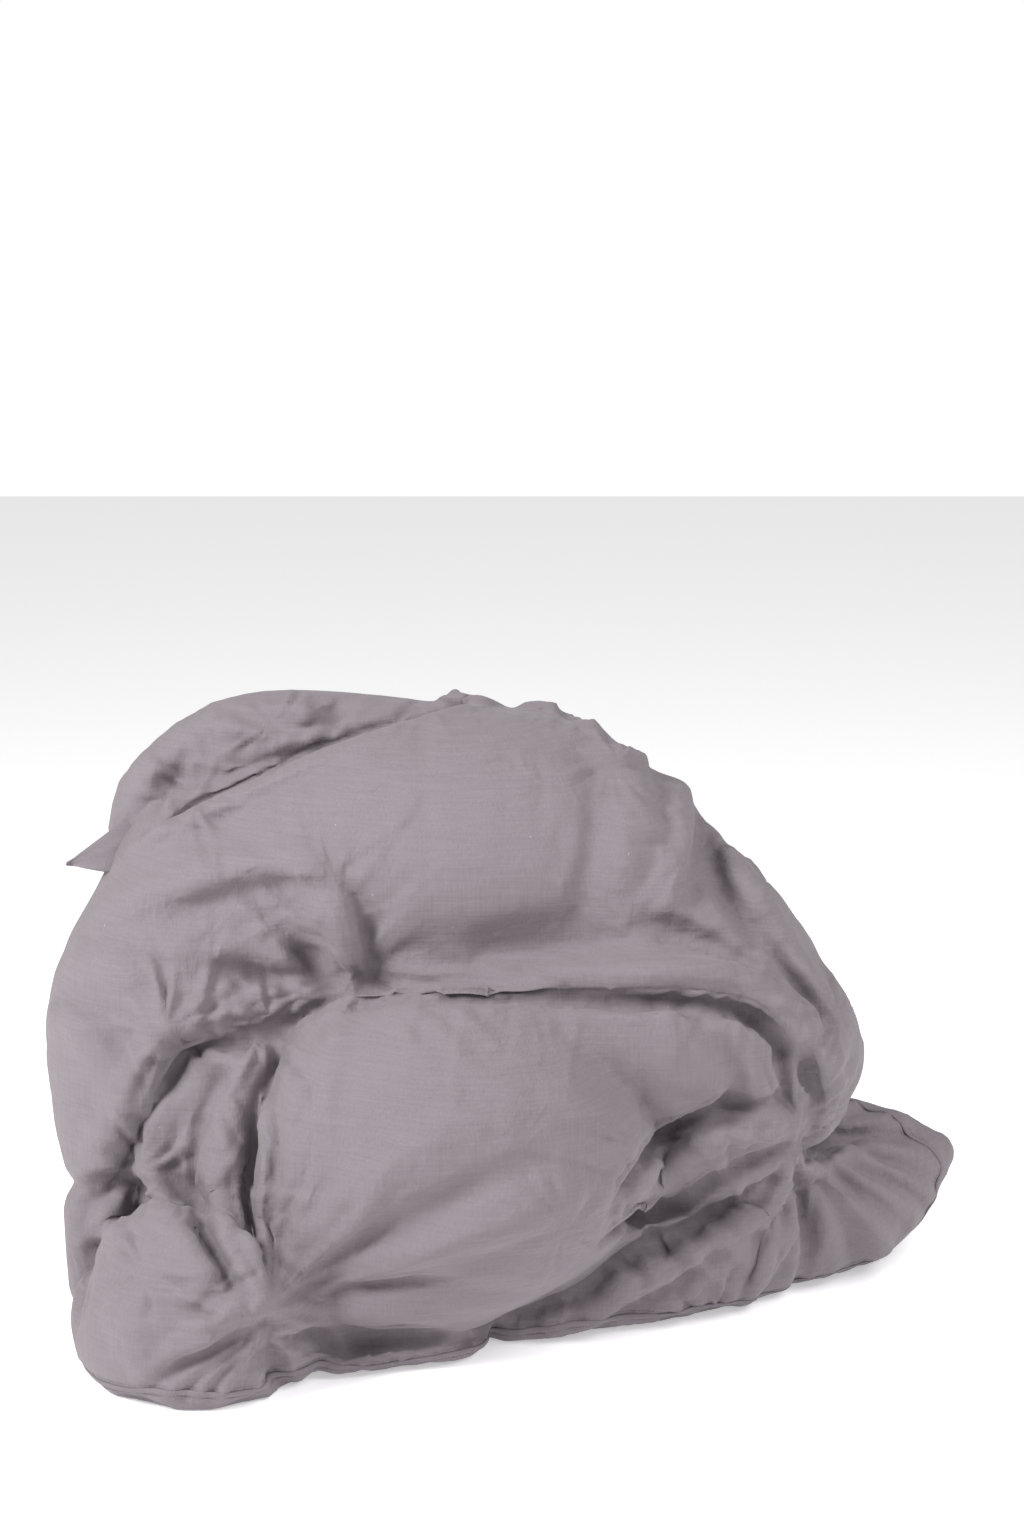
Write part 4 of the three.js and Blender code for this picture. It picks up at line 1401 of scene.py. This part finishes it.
def border_of(mesh):
    """The points of a panel's longest open edge, in order."""
    links = {}
    shape = bmesh.new()
    shape.from_mesh(mesh)
    for edge in shape.edges:
        if len(edge.link_faces) == 1:
            first, second = (v.index for v in edge.verts)
            links.setdefault(first, []).append(second)
            links.setdefault(second, []).append(first)
    places = [v.co.copy() for v in shape.verts]
    shape.free()
    longest = []
    unseen = set(links)
    while unseen:
        start = min(unseen)
        loop = [start]
        unseen.discard(start)
        while True:
            onward = [k for k in links[loop[-1]] if k in unseen]
            if not onward:
                break
            loop.append(onward[0])
            unseen.discard(onward[0])
        if len(loop) > len(longest):
            longest = loop
    return np.array([places[k] for k in longest])


def on_skin(point, lift=0.0):
    """The nearest place on the skin, lifted off it, and the way out there."""
    place, out, _, _ = WORKBENCH["skin"].find_nearest(Vector(point))
    return np.array(place + out * lift), np.array(out)


def swept_welt(name, line, width, height):
    """A flattened welt of turned cloth along a line on the skin, closed at both ends."""
    sides = 10
    points = []
    faces = []
    outs = eased(np.array([on_skin(p)[1] for p in line]), 6)
    for k, place in enumerate(line):
        ahead = line[min(k + 1, len(line) - 1)] - line[max(k - 1, 0)]
        ahead /= max(np.linalg.norm(ahead), 1e-9)
        out = outs[k] - ahead * (outs[k] @ ahead)
        out /= max(np.linalg.norm(out), 1e-9)
        side = np.cross(ahead, out)
        ruffle = 1 + 0.16 * noise.noise(Vector(place) * 55)
        end_share = min(1.0, 4 * min(k, len(line) - 1 - k) / len(line) + 0.35)
        for s in range(sides):
            turn = 2 * math.pi * s / sides
            offset = side * math.cos(turn) * width / 2 + out * math.sin(turn) * height / 2 * ruffle
            points.append(place + (offset + out * height * 0.2) * end_share)
        if k:
            for s in range(sides):
                a = (k - 1) * sides + s
                b = (k - 1) * sides + (s + 1) % sides
                faces.append((a, b, b + sides, a + sides))
    last = (len(line) - 1) * sides
    faces.append(tuple(reversed(range(sides))))
    faces.append(tuple(range(last, last + sides)))
    mesh = mesh_from(name, points, faces)
    shape = bmesh.new()
    shape.from_mesh(mesh)
    bmesh.ops.recalc_face_normals(shape, faces=shape.faces)
    shape.to_mesh(mesh)
    shape.free()
    return mesh


def stitch_tree(material):
    """Geometry nodes that lay stitches along lines: small beads of thread in the thread's material."""
    tree = bpy.data.node_groups.new("Row of stitches", "GeometryNodeTree")
    tree.is_modifier = True
    face = tree.interface
    face.new_socket("Lines", in_out="INPUT", socket_type="NodeSocketGeometry")
    for label in ("Stitch spacing", "Stitch length", "Thread thickness"):
        face.new_socket(label, in_out="INPUT", socket_type="NodeSocketFloat")
    face.new_socket("Seed", in_out="INPUT", socket_type="NodeSocketInt")
    face.new_socket("Stitches", in_out="OUTPUT", socket_type="NodeSocketGeometry")
    nodes = tree.nodes
    link = tree.links.new
    given = nodes.new("NodeGroupInput")
    put = nodes.new("NodeGroupOutput")
    curve = nodes.new("GeometryNodeMeshToCurve")
    link(given.outputs["Lines"], curve.inputs["Mesh"])
    spaced = nodes.new("GeometryNodeResampleCurve")
    spaced.mode = "LENGTH"
    link(curve.outputs["Curve"], spaced.inputs["Curve"])
    link(given.outputs["Stitch spacing"], spaced.inputs["Length"])
    bead = nodes.new("GeometryNodeMeshUVSphere")
    bead.inputs["Segments"].default_value = 6
    bead.inputs["Rings"].default_value = 4
    bead.inputs["Radius"].default_value = 0.5
    stretch = nodes.new("ShaderNodeCombineXYZ")
    link(given.outputs["Thread thickness"], stretch.inputs["X"])
    link(given.outputs["Thread thickness"], stretch.inputs["Y"])
    link(given.outputs["Stitch length"], stretch.inputs["Z"])
    thread = nodes.new("GeometryNodeTransform")
    link(bead.outputs["Mesh"], thread.inputs["Geometry"])
    link(stretch.outputs["Vector"], thread.inputs["Scale"])
    way = nodes.new("GeometryNodeInputTangent")
    turn = nodes.new("FunctionNodeAlignRotationToVector")
    turn.axis = "Z"
    link(way.outputs["Tangent"], turn.inputs["Vector"])
    uneven = nodes.new("FunctionNodeRandomValue")
    uneven.data_type = "FLOAT"
    uneven.inputs[2].default_value = 0.85
    uneven.inputs[3].default_value = 1.1
    link(given.outputs["Seed"], uneven.inputs["Seed"])
    laid = nodes.new("GeometryNodeInstanceOnPoints")
    link(spaced.outputs["Curve"], laid.inputs["Points"])
    link(thread.outputs["Geometry"], laid.inputs["Instance"])
    link(turn.outputs["Rotation"], laid.inputs["Rotation"])
    link(uneven.outputs[1], laid.inputs["Scale"])
    real = nodes.new("GeometryNodeRealizeInstances")
    link(laid.outputs["Instances"], real.inputs["Geometry"])
    coloured = nodes.new("GeometryNodeSetMaterial")
    coloured.inputs["Material"].default_value = material
    link(real.outputs["Geometry"], coloured.inputs["Geometry"])
    link(coloured.outputs["Geometry"], put.inputs["Stitches"])
    return tree


def sew(name, lines, spacing=None, length=None, seed=7):
    """Rows of stitches along lines, as one piece of thread."""
    sewing = sizes("sewing")
    points = []
    edges = []
    for line in lines:
        start = len(points)
        points += [tuple(map(float, p)) for p in line]
        edges += [(start + k, start + k + 1) for k in range(len(line) - 1)]
    mesh = bpy.data.meshes.new(name)
    mesh.from_pydata(points, edges, [])
    piece = bpy.data.objects.new(name, mesh)
    bpy.context.scene.collection.objects.link(piece)
    tree = bpy.data.node_groups.get("Row of stitches") or stitch_tree(finish("sewing thread"))
    rows = piece.modifiers.new("Stitches", "NODES")
    rows.node_group = tree
    values = {
        "Stitch spacing": spacing or sewing.stitch_spacing,
        "Stitch length": length or sewing.stitch_length,
        "Thread thickness": sewing.thread_thickness,
        "Seed": seed,
    }
    for item in tree.interface.items_tree:
        if item.name in values:
            rows[item.identifier] = values[item.name]
    made = settled_mesh(piece)
    if not made.polygons:
        raise RuntimeError(name + " has no stitches")
    made.materials.clear()
    made.materials.append(finish("sewing thread"))
    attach(piece, "heap")
    return piece


def beside_on_skin(line, offset, lift):
    """A line that runs beside another on the skin."""
    rows = []
    for k, place in enumerate(line):
        ahead = line[min(k + 1, len(line) - 1)] - line[max(k - 1, 0)]
        _, out = on_skin(place)
        side = np.cross(ahead, out)
        side /= max(np.linalg.norm(side), 1e-9)
        rows.append(on_skin(place + side * offset, lift)[0])
    return eased(np.array(rows), 2)


def make_seams():
    """The side seams and the head seam, with their rows of stitches."""
    sewing = sizes("sewing")
    border = border_of(bpy.data.objects["face_panel_cloth"].data)
    along_floor = border[:, 2] < hem_height(border[:, 0], border[:, 1]) + 0.003
    under_placket = border[:, 2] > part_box("placket_under")[0].z
    kinds = {
        "head_seam": along_floor,
        "side_seam_left": ~along_floor & ~under_placket & (border[:, 0] < 0),
        "side_seam_right": ~along_floor & ~under_placket & (border[:, 0] >= 0),
    }
    stitch_lines = []
    for node, chosen in kinds.items():
        line = longest_run(border, chosen)
        line = eased(evenly_spaced(line, 0.004), 3)
        if line[0][0] > line[-1][0]:
            line = line[::-1]
        welt = swept_welt(node, line, sewing.seam_width, sewing.seam_height)
        piece = add_piece(node + "_welt", welt, finish("seam percale"))
        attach(piece, "heap")
        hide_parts(node)
        for offset in (-1, 1):
            aside = offset * sewing.seam_width * 0.95
            stitch_lines.append(beside_on_skin(line, aside, sewing.thread_thickness * THREAD_LIFT))
    sew("seam_stitches", stitch_lines)


def longest_run(border, chosen):
    """The longest unbroken run of a closed border's chosen points."""
    count = len(border)
    doubled = list(chosen) * 2
    best = (0, 0)
    start = None
    for k, yes in enumerate(doubled):
        if yes and start is None:
            start = k
        if (not yes or k == 2 * count - 1) and start is not None:
            if k - start > best[1] - best[0]:
                best = (start, k)
            start = None
    if best[1] - best[0] < 8:
        raise RuntimeError("a seam has no edge to run along")
    stop = min(best[1], best[0] + count)
    return np.array([border[k % count] for k in range(best[0], stop)])


# ---------------------------------------------------------------- loose corner


def make_loose_corner():
    """The empty corner of the cover: two layers, turned edges, a slight curl and creases from its root."""
    low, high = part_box("loose_corner")
    root_low = np.array([high.x + 0.037, low.y + 0.044, high.z - 0.033])
    root_high = np.array([high.x + 0.032, high.y + 0.042, high.z + 0.027])
    tip = np.array([low.x + 0.016, (low.y + high.y) / 2, high.z - 0.020])
    steps = 36
    rows = []
    for i in range(steps + 1):
        out = i / steps
        row = []
        for j in range(steps + 1):
            t = j / steps
            root = root_low * (1 - t) + root_high * t
            place = root * (1 - out) + tip * out
            sway = 0.006 * math.sin(math.pi * t) * (1 - out) + 0.004 * math.sin(math.pi * out)
            crease = 0.0022 * math.sin(17 * t + 3 * out) * (1 - out) * math.sin(math.pi * t)
            curl = 0.010 * out**2 * (t - 0.4)
            row.append(place + np.array([0.0, -sway + crease - curl, 0.25 * curl]))
        rows.append(row)
    points = [p for row in rows[:-1] for p in row] + [rows[-1][0]]
    faces = []
    side = steps + 1
    for i in range(steps - 1):
        for j in range(steps):
            a = i * side + j
            faces.append((a, a + 1, a + side + 1, a + side))
    top = len(points) - 1
    faces += [((steps - 1) * side + j, (steps - 1) * side + j + 1, top) for j in range(steps)]
    mesh = mesh_from("loose corner", points, faces)
    piece = add_piece("loose_corner_cloth", mesh, finish("cover percale"))
    layers = piece.modifiers.new("Two layers", "SOLIDIFY")
    layers.thickness = 0.0024
    layers.offset = 0
    edge = piece.modifiers.new("Turned edges", "BEVEL")
    edge.width = 0.0009
    edge.segments = 2
    settled_mesh(piece)
    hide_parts("loose_corner")
    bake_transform(piece)


# ---------------------------------------------------------------- placket and buttons


def soft_copy(name, node, material, cuts=2, wave=0.0, rate=30.0, puff=0.0):
    """A finer, softer copy of a CAD node: its edges rounded, its faces a little wavy or puffed."""
    shape = copy_of_node(node)
    bmesh.ops.recalc_face_normals(shape, faces=shape.faces)
    bmesh.ops.subdivide_edges(shape, edges=shape.edges, cuts=cuts, use_grid_fill=True)
    bmesh.ops.triangulate(shape, faces=[f for f in shape.faces if len(f.verts) > 4])
    for _ in range(2):
        bmesh.ops.smooth_vert(
            shape, verts=shape.verts, factor=0.5, use_axis_x=True, use_axis_y=True, use_axis_z=True,
        )
    shape.normal_update()
    for vert in shape.verts:
        ripple = noise.noise(vert.co * rate)
        vert.co += vert.normal * (wave * ripple + puff)
    mesh = bpy.data.meshes.new(name)
    shape.to_mesh(mesh)
    shape.free()
    return add_piece(name, mesh, material)


def button_places():
    """Middle, outward direction and radius of each CAD button."""
    places = []
    for number in range(1, BUTTONS + 1):
        points = points_of(bpy.data.objects[f"button_{number}"].data)
        middle = points.mean(axis=0)
        _, _, axes = np.linalg.svd(points - middle, full_matrices=False)
        out = axes[2] * (1 if axes[2][2] > 0 else -1)
        flat = points - middle
        flat = flat - np.outer(flat @ out, out)
        places.append((middle, out, float(np.linalg.norm(flat, axis=1).max())))
    return places


def button_mesh(radius, height):
    """One shell button: a dished top, a rounded rim and four holes."""
    rim = [(0.0, -0.5), (0.80, -0.5), (0.95, -0.3), (1.0, 0.0), (0.96, 0.35)]
    rim += [(0.86, 0.5), (0.74, 0.42), (0.62, 0.12), (0.0, 0.05)]
    turns = 40
    shape = bmesh.new()
    outline = [shape.verts.new((share * radius, 0, up * height)) for share, up in rim]
    edges = [shape.edges.new(pair) for pair in zip(outline, outline[1:])]
    bmesh.ops.spin(
        shape, geom=outline + edges, cent=(0, 0, 0), axis=(0, 0, 1), angle=2 * math.pi, steps=turns,
    )
    bmesh.ops.remove_doubles(shape, verts=shape.verts, dist=1e-6)
    bmesh.ops.recalc_face_normals(shape, faces=shape.faces)
    mesh = bpy.data.meshes.new("button")
    shape.to_mesh(mesh)
    shape.free()
    button = bpy.data.objects.new("button blank", mesh)
    drill_shape = bmesh.new()
    bore = radius * 0.1
    drilling = {"cap_ends": True, "segments": 12, "radius1": bore, "radius2": bore, "depth": height * 3}
    for turn in range(4):
        angle = math.radians(45 + 90 * turn)
        across = radius * HOLE_SHARE
        place = Matrix.Translation((math.cos(angle) * across, math.sin(angle) * across, 0))
        bmesh.ops.create_cone(drill_shape, matrix=place, **drilling)
    drill_mesh = bpy.data.meshes.new("drill")
    drill_shape.to_mesh(drill_mesh)
    drill_shape.free()
    drill = bpy.data.objects.new("drill", drill_mesh)
    for thing in (button, drill):
        bpy.context.scene.collection.objects.link(thing)
    holes = button.modifiers.new("Holes", "BOOLEAN")
    holes.object = drill
    holes.operation = "DIFFERENCE"
    holes.solver = "EXACT"
    button.data.materials.append(finish("shell button"))
    made = settled_mesh(button)
    for thing in (button, drill):
        bpy.data.objects.remove(thing)
    return made


def thread_through(threads, lines, radius):
    """Adds a bar of thread for each line to a list of points and faces."""
    points, faces = threads
    sides = 6
    for line in lines:
        rows = smooth_line(line, 5)
        first = len(points)
        for k, place in enumerate(rows):
            ahead = rows[min(k + 1, len(rows) - 1)] - rows[max(k - 1, 0)]
            ahead /= max(np.linalg.norm(ahead), 1e-9)
            helper = np.array([1.0, 0, 0]) if abs(ahead[0]) < 0.8 else np.array([0, 1.0, 0])
            side = np.cross(ahead, helper)
            side /= np.linalg.norm(side)
            other = np.cross(ahead, side)
            for s in range(sides):
                turn = 2 * math.pi * s / sides
                points.append(place + radius * (math.cos(turn) * side + math.sin(turn) * other))
            if k:
                for s in range(sides):
                    a = first + (k - 1) * sides + s
                    b = first + (k - 1) * sides + (s + 1) % sides
                    faces.append((a, b, b + sides, a + sides))
        last = first + (len(rows) - 1) * sides
        faces.append(tuple(first + s for s in reversed(range(sides))))
        faces.append(tuple(last + s for s in range(sides)))


def make_placket():
    """The two hemmed bands of the foot opening, with their rows of stitches and worked buttonholes."""
    for node, name in (("placket_under", "placket_under_band"), ("placket_over", "placket_over_band")):
        piece = soft_copy(name, node, finish("seam percale"), cuts=2, wave=0.0006, rate=60.0)
        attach(piece, "heap")
        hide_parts(node)
    band = bpy.data.objects["placket_over_band"].data
    tree = tree_of(band)
    low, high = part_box("placket_over")
    inset = 0.005
    lines = []
    for back in (low.y + inset, high.y - inset * 1.6):
        line = []
        for share in np.linspace(0.012, 0.988, 150):
            place = dropped_on(tree, low.x + (high.x - low.x) * share, back, high.z)
            if place is not None:
                line.append(place)
        lines.append(np.array(line))
    sew("placket_stitches", lines)
    holes = []
    for middle, _, radius in button_places():
        line = []
        for turn in np.linspace(0, 2 * math.pi, 41):
            across = middle[0] + radius * HOLE_LENGTH * math.cos(turn)
            back = middle[1] + HOLE_WIDTH * math.sin(turn)
            place = dropped_on(tree, across, back, high.z)
            if place is not None:
                line.append(place)
        holes.append(np.array(line))
    sew("buttonhole_stitches", holes, spacing=0.0011, length=0.0020, seed=9)


def dropped_on(tree, across, back, top):
    """The point of a band right below a place, lifted by a share of a thread."""
    place, out, _, _ = tree.ray_cast(Vector((across, back, top + 0.05)), Vector((0, 0, -1)))
    return None if place is None else np.array(place + out * sizes("sewing").thread_thickness * THREAD_LIFT)


def make_buttons():
    """Seven shell buttons, each sewn on with crossed thread and a shank."""
    sewing = sizes("sewing")
    places = button_places()
    blank = button_mesh(places[0][2], sewing.button_height)
    draw = random.Random(5)
    threads = ([], [])
    for number, (middle, out, radius) in enumerate(places, start=1):
        turn = Vector(out).to_track_quat("Z", "Y").to_matrix().to_4x4()
        spin = Matrix.Rotation(draw.uniform(0, math.pi), 4, "Z")
        place = Matrix.Translation(Vector(middle)) @ turn @ spin
        mesh = blank.copy()
        mesh.transform(place)
        piece = add_piece(f"button_{number}_shell", mesh, finish("shell button"))
        sharpen(piece.data)
        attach(piece, "heap")
        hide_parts(f"button_{number}")
        frame_of_button = np.array(place)
        bars = []
        for first, second in ((45, 225), (135, 315)):
            ends = []
            for angle, level in ((first, -0.6), (first, 0.25), (second, 0.25), (second, -0.6)):
                across = radius * HOLE_SHARE
                side = across * math.cos(math.radians(angle))
                back = across * math.sin(math.radians(angle))
                local = np.array((side, back, level * sewing.button_height, 1))
                ends.append((frame_of_button @ local)[:3])
            bars.append(np.array(ends))
        foot = (frame_of_button @ np.array([0, 0, -sewing.button_height * 1.5, 1]))[:3]
        head = (frame_of_button @ np.array([0, 0, -sewing.button_height * 0.45, 1]))[:3]
        thread_through(threads, bars, sewing.thread_thickness * 0.55)
        thread_through(threads, [np.array([foot, head])], 0.0013)
    mesh = mesh_from("button threads", *threads)
    shape = bmesh.new()
    shape.from_mesh(mesh)
    bmesh.ops.recalc_face_normals(shape, faces=shape.faces)
    shape.to_mesh(mesh)
    shape.free()
    piece = add_piece("button_threads", mesh, finish("sewing thread"))
    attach(piece, "heap")


def sharpen(mesh):
    """Keeps hard edges of a turned piece crisp."""
    mesh.set_sharp_from_angle(angle=math.radians(HARD_EDGE))


# ---------------------------------------------------------------- insert


def room_inside(heap, margin):
    """How far the cover lets a hidden piece reach from the heap's middle, by direction."""
    turns = 2 * math.pi * np.arange(ROOM_TURNS) / ROOM_TURNS
    rises = math.pi * (np.arange(ROOM_RISES) / (ROOM_RISES - 1) - 0.5)
    rise, turn = np.meshgrid(rises, turns, indexing="ij")
    ways = np.stack([np.cos(rise) * np.cos(turn), np.cos(rise) * np.sin(turn), np.sin(rise)], axis=-1)
    reach = np.zeros(rise.shape)
    going = np.ones(rise.shape, bool)
    for step in np.arange(0.01, 0.7, 0.008):
        points = MIDDLE + ways * step
        going &= (heap.at(points) < -margin) & (points[..., 2] > margin / 2)
        reach[going] = step
    for _ in range(2):
        padded_reach = np.concatenate([reach[:, -1:], reach, reach[:, :1]], axis=1)
        padded_reach = np.vstack([padded_reach[:1], padded_reach, padded_reach[-1:]])
        around = [padded_reach[i : i + ROOM_RISES, j : j + ROOM_TURNS] for i in range(3) for j in range(3)]
        reach = np.minimum.reduce(around)
    return reach


def kept_inside(piece, margin):
    """Draws a hidden piece in towards the heap's middle, so that its layers stay in order under the cover."""
    if "room" not in WORKBENCH:
        WORKBENCH["room"] = room_inside(WORKBENCH["heap"], COVER_MARGIN)
    points = points_of(piece.data) - MIDDLE
    far = np.maximum(np.linalg.norm(points, axis=1), 1e-6)
    rise = np.arcsin(np.clip(points[:, 2] / far, -1, 1)) / math.pi + 0.5
    turn = np.arctan2(points[:, 1], points[:, 0]) / (2 * math.pi)
    rows = np.rint(rise * (ROOM_RISES - 1)).astype(int)
    columns = np.rint(turn * ROOM_TURNS).astype(int) % ROOM_TURNS
    room = np.maximum(WORKBENCH["room"][rows, columns] - margin, 0.01)
    share = far / room
    pressed = 1 - (1 - FREE_SHARE) * np.exp((FREE_SHARE - share) / (1 - FREE_SHARE))
    squeezed = np.where(share < FREE_SHARE, share, pressed)
    set_points(piece.data, MIDDLE + points * (squeezed / share)[:, None])


def add_insert_piece(name, node, material, slot_name, fill, margin, **softness):
    """A soft copy of one CAD node of the insert, kept inside the cover."""
    piece = soft_copy(name, node, material, **softness)
    kept_inside(piece, margin)
    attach(piece, "heap")
    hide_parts(node)


def make_insert():
    """The insert: two tickings, four bindings, thirty boxes of down, and the corner loops and ties."""
    for side in ("back", "face"):
        node = f"ticking_{side}"
        add_insert_piece(node + "_cloth", node, finish("downproof ticking"), "ticking", 0.4, 0.002, cuts=2)
    for side in ("left", "right", "head", "foot"):
        node = f"binding_{side}"
        add_insert_piece(node + "_tape", node, finish("twill tape"), "twill_tape", 0.9, 0.003, cuts=2)
    for row in range(1, BOX_ROWS + 1):
        for column in range(1, BOX_COLUMNS + 1):
            node = f"down_box_{row}_{column}"
            down = finish("loose down")
            add_insert_piece(
                node + "_fill", node, down, "down_fill", 0.7, 0.008, cuts=2, wave=0.003, rate=35.0,
            )
    for kind in ("loop", "tie"):
        for end in ("head", "foot"):
            for side in ("left", "right"):
                node = f"corner_{kind}_{end}_{side}"
                add_insert_piece(node + "_tape", node, finish("twill tape"), "twill_tape", 0.9, 0.001, cuts=1)


# ---------------------------------------------------------------- stage


def soft_light(name, place, aim, size, power):
    """One soft window of light."""
    light = bpy.data.lights.new(name, "AREA")
    light.size = size
    light.energy = power
    lamp = bpy.data.objects.new(name, light)
    bpy.context.scene.collection.objects.link(lamp)
    lamp.location = place
    lamp.rotation_euler = (aim - Vector(place)).to_track_quat("-Z", "Y").to_euler()


def make_stage():
    """Plain pale floor, soft light and the camera."""
    stage = sizes("stage")
    scene = bpy.context.scene
    half = FLOOR_WIDTH / 2
    corners = [(-half, -half, 0), (half, -half, 0), (half, half, 0), (-half, half, 0)]
    floor = add_piece("floor", mesh_from("floor", corners, [(0, 1, 2, 3)]), finish("pale floor"))
    floor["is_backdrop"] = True
    world = bpy.data.worlds.new("soft sky")
    world.use_nodes = True
    tree = world.node_tree
    light = tree.nodes["Background"]
    light.inputs["Strength"].default_value = stage.sky_strength
    light.inputs["Color"].default_value = (1, 1, 1, 1)
    backdrop = tree.nodes.new("ShaderNodeBackground")
    backdrop.inputs["Color"].default_value = (1, 1, 1, 1)
    path = tree.nodes.new("ShaderNodeLightPath")
    mix = tree.nodes.new("ShaderNodeMixShader")
    tree.links.new(path.outputs["Is Camera Ray"], mix.inputs["Fac"])
    tree.links.new(light.outputs["Background"], mix.inputs[1])
    tree.links.new(backdrop.outputs["Background"], mix.inputs[2])
    tree.links.new(mix.outputs["Shader"], tree.nodes["World Output"].inputs["Surface"])
    scene.world = world
    scene.view_settings.view_transform = "Standard"
    middle = Vector((0, 0, AIM_HEIGHT))
    for name, place, size, power in SOFT_LIGHTS:
        soft_light(name, place, middle, size, power)
    camera = bpy.data.cameras.new("camera")
    camera.sensor_fit = "HORIZONTAL"
    camera.lens = camera.sensor_width * stage.camera_distance / stage.view_width
    eye = bpy.data.objects.new("camera", camera)
    scene.collection.objects.link(eye)
    eye.location = middle + Vector((0, -UP_Z, UP_Y)) * stage.camera_distance
    lift = math.atan(HEADROOM / stage.camera_distance)
    eye.rotation_euler = (math.pi / 2 - SIGHT_TILT + lift, 0, 0)
    scene.camera = eye


# ---------------------------------------------------------------- operators and panel


class DUVET_OT_make_stage(bpy.types.Operator):
    """Makes the floor, the lights and the camera"""

    bl_idname = "duvet.make_stage"
    bl_label = "Stage"

    def execute(self, context):
        make_stage()
        return {"FINISHED"}


class DUVET_OT_make_cover(bpy.types.Operator):
    """Makes the cover's face and back panels"""

    bl_idname = "duvet.make_cover"
    bl_label = "Cover"

    def execute(self, context):
        make_cover()
        return {"FINISHED"}


class DUVET_OT_make_loose_corner(bpy.types.Operator):
    """Makes the cover's empty corner"""

    bl_idname = "duvet.make_loose_corner"
    bl_label = "Loose corner"

    def execute(self, context):
        make_loose_corner()
        return {"FINISHED"}


class DUVET_OT_make_seams(bpy.types.Operator):
    """Makes the side seams, the head seam and their stitches"""

    bl_idname = "duvet.make_seams"
    bl_label = "Seams"

    def execute(self, context):
        make_seams()
        return {"FINISHED"}


class DUVET_OT_make_placket(bpy.types.Operator):
    """Makes the foot opening's two bands, their stitches and buttonholes"""

    bl_idname = "duvet.make_placket"
    bl_label = "Placket"

    def execute(self, context):
        make_placket()
        return {"FINISHED"}


class DUVET_OT_make_buttons(bpy.types.Operator):
    """Makes the seven buttons and the thread that holds them"""

    bl_idname = "duvet.make_buttons"
    bl_label = "Buttons"

    def execute(self, context):
        make_buttons()
        return {"FINISHED"}


class DUVET_OT_make_insert(bpy.types.Operator):
    """Makes the insert: tickings, bindings, boxes of down, loops and ties"""

    bl_idname = "duvet.make_insert"
    bl_label = "Insert"

    def execute(self, context):
        make_insert()
        return {"FINISHED"}


class DUVET_PT_panel(bpy.types.Panel):
    """Sizes, colours and pieces of the duvet"""

    bl_label = "Duvet"
    bl_idname = "DUVET_PT_panel"
    bl_space_type = "VIEW_3D"
    bl_region_type = "UI"
    bl_category = "Duvet"

    def draw(self, context):
        for label, group in GROUPS.items():
            box = self.layout.box()
            box.label(text=label.capitalize())
            settings = getattr(context.scene, "duvet_" + label)
            for prop in group.__annotations__:
                box.prop(settings, prop)
        for maker in OPERATORS:
            self.layout.operator(maker.bl_idname)


GROUPS = {"heap": HeapSizes, "colours": ClothColours, "sewing": SewingSizes, "stage": StageSizes}
OPERATORS = (
    DUVET_OT_make_stage,
    DUVET_OT_make_cover,
    DUVET_OT_make_loose_corner,
    DUVET_OT_make_seams,
    DUVET_OT_make_placket,
    DUVET_OT_make_buttons,
    DUVET_OT_make_insert,
)


def register():
    """Adds the settings, operators and panel."""
    for kind in (*GROUPS.values(), *OPERATORS, DUVET_PT_panel):
        bpy.utils.register_class(kind)
    for label, group in GROUPS.items():
        setattr(bpy.types.Scene, "duvet_" + label, PointerProperty(type=group))


def unregister():
    """Takes the settings, operators and panel away again."""
    for label in GROUPS:
        delattr(bpy.types.Scene, "duvet_" + label)
    for kind in (DUVET_PT_panel, *reversed(OPERATORS), *reversed(GROUPS.values())):
        bpy.utils.unregister_class(kind)


def main():
    """Makes every piece in order."""
    register()
    bpy.ops.duvet.make_stage()
    bpy.ops.duvet.make_cover()
    bpy.ops.duvet.make_loose_corner()
    bpy.ops.duvet.make_seams()
    bpy.ops.duvet.make_placket()
    bpy.ops.duvet.make_buttons()
    bpy.ops.duvet.make_insert()


if __name__ == "__main__":
    main()
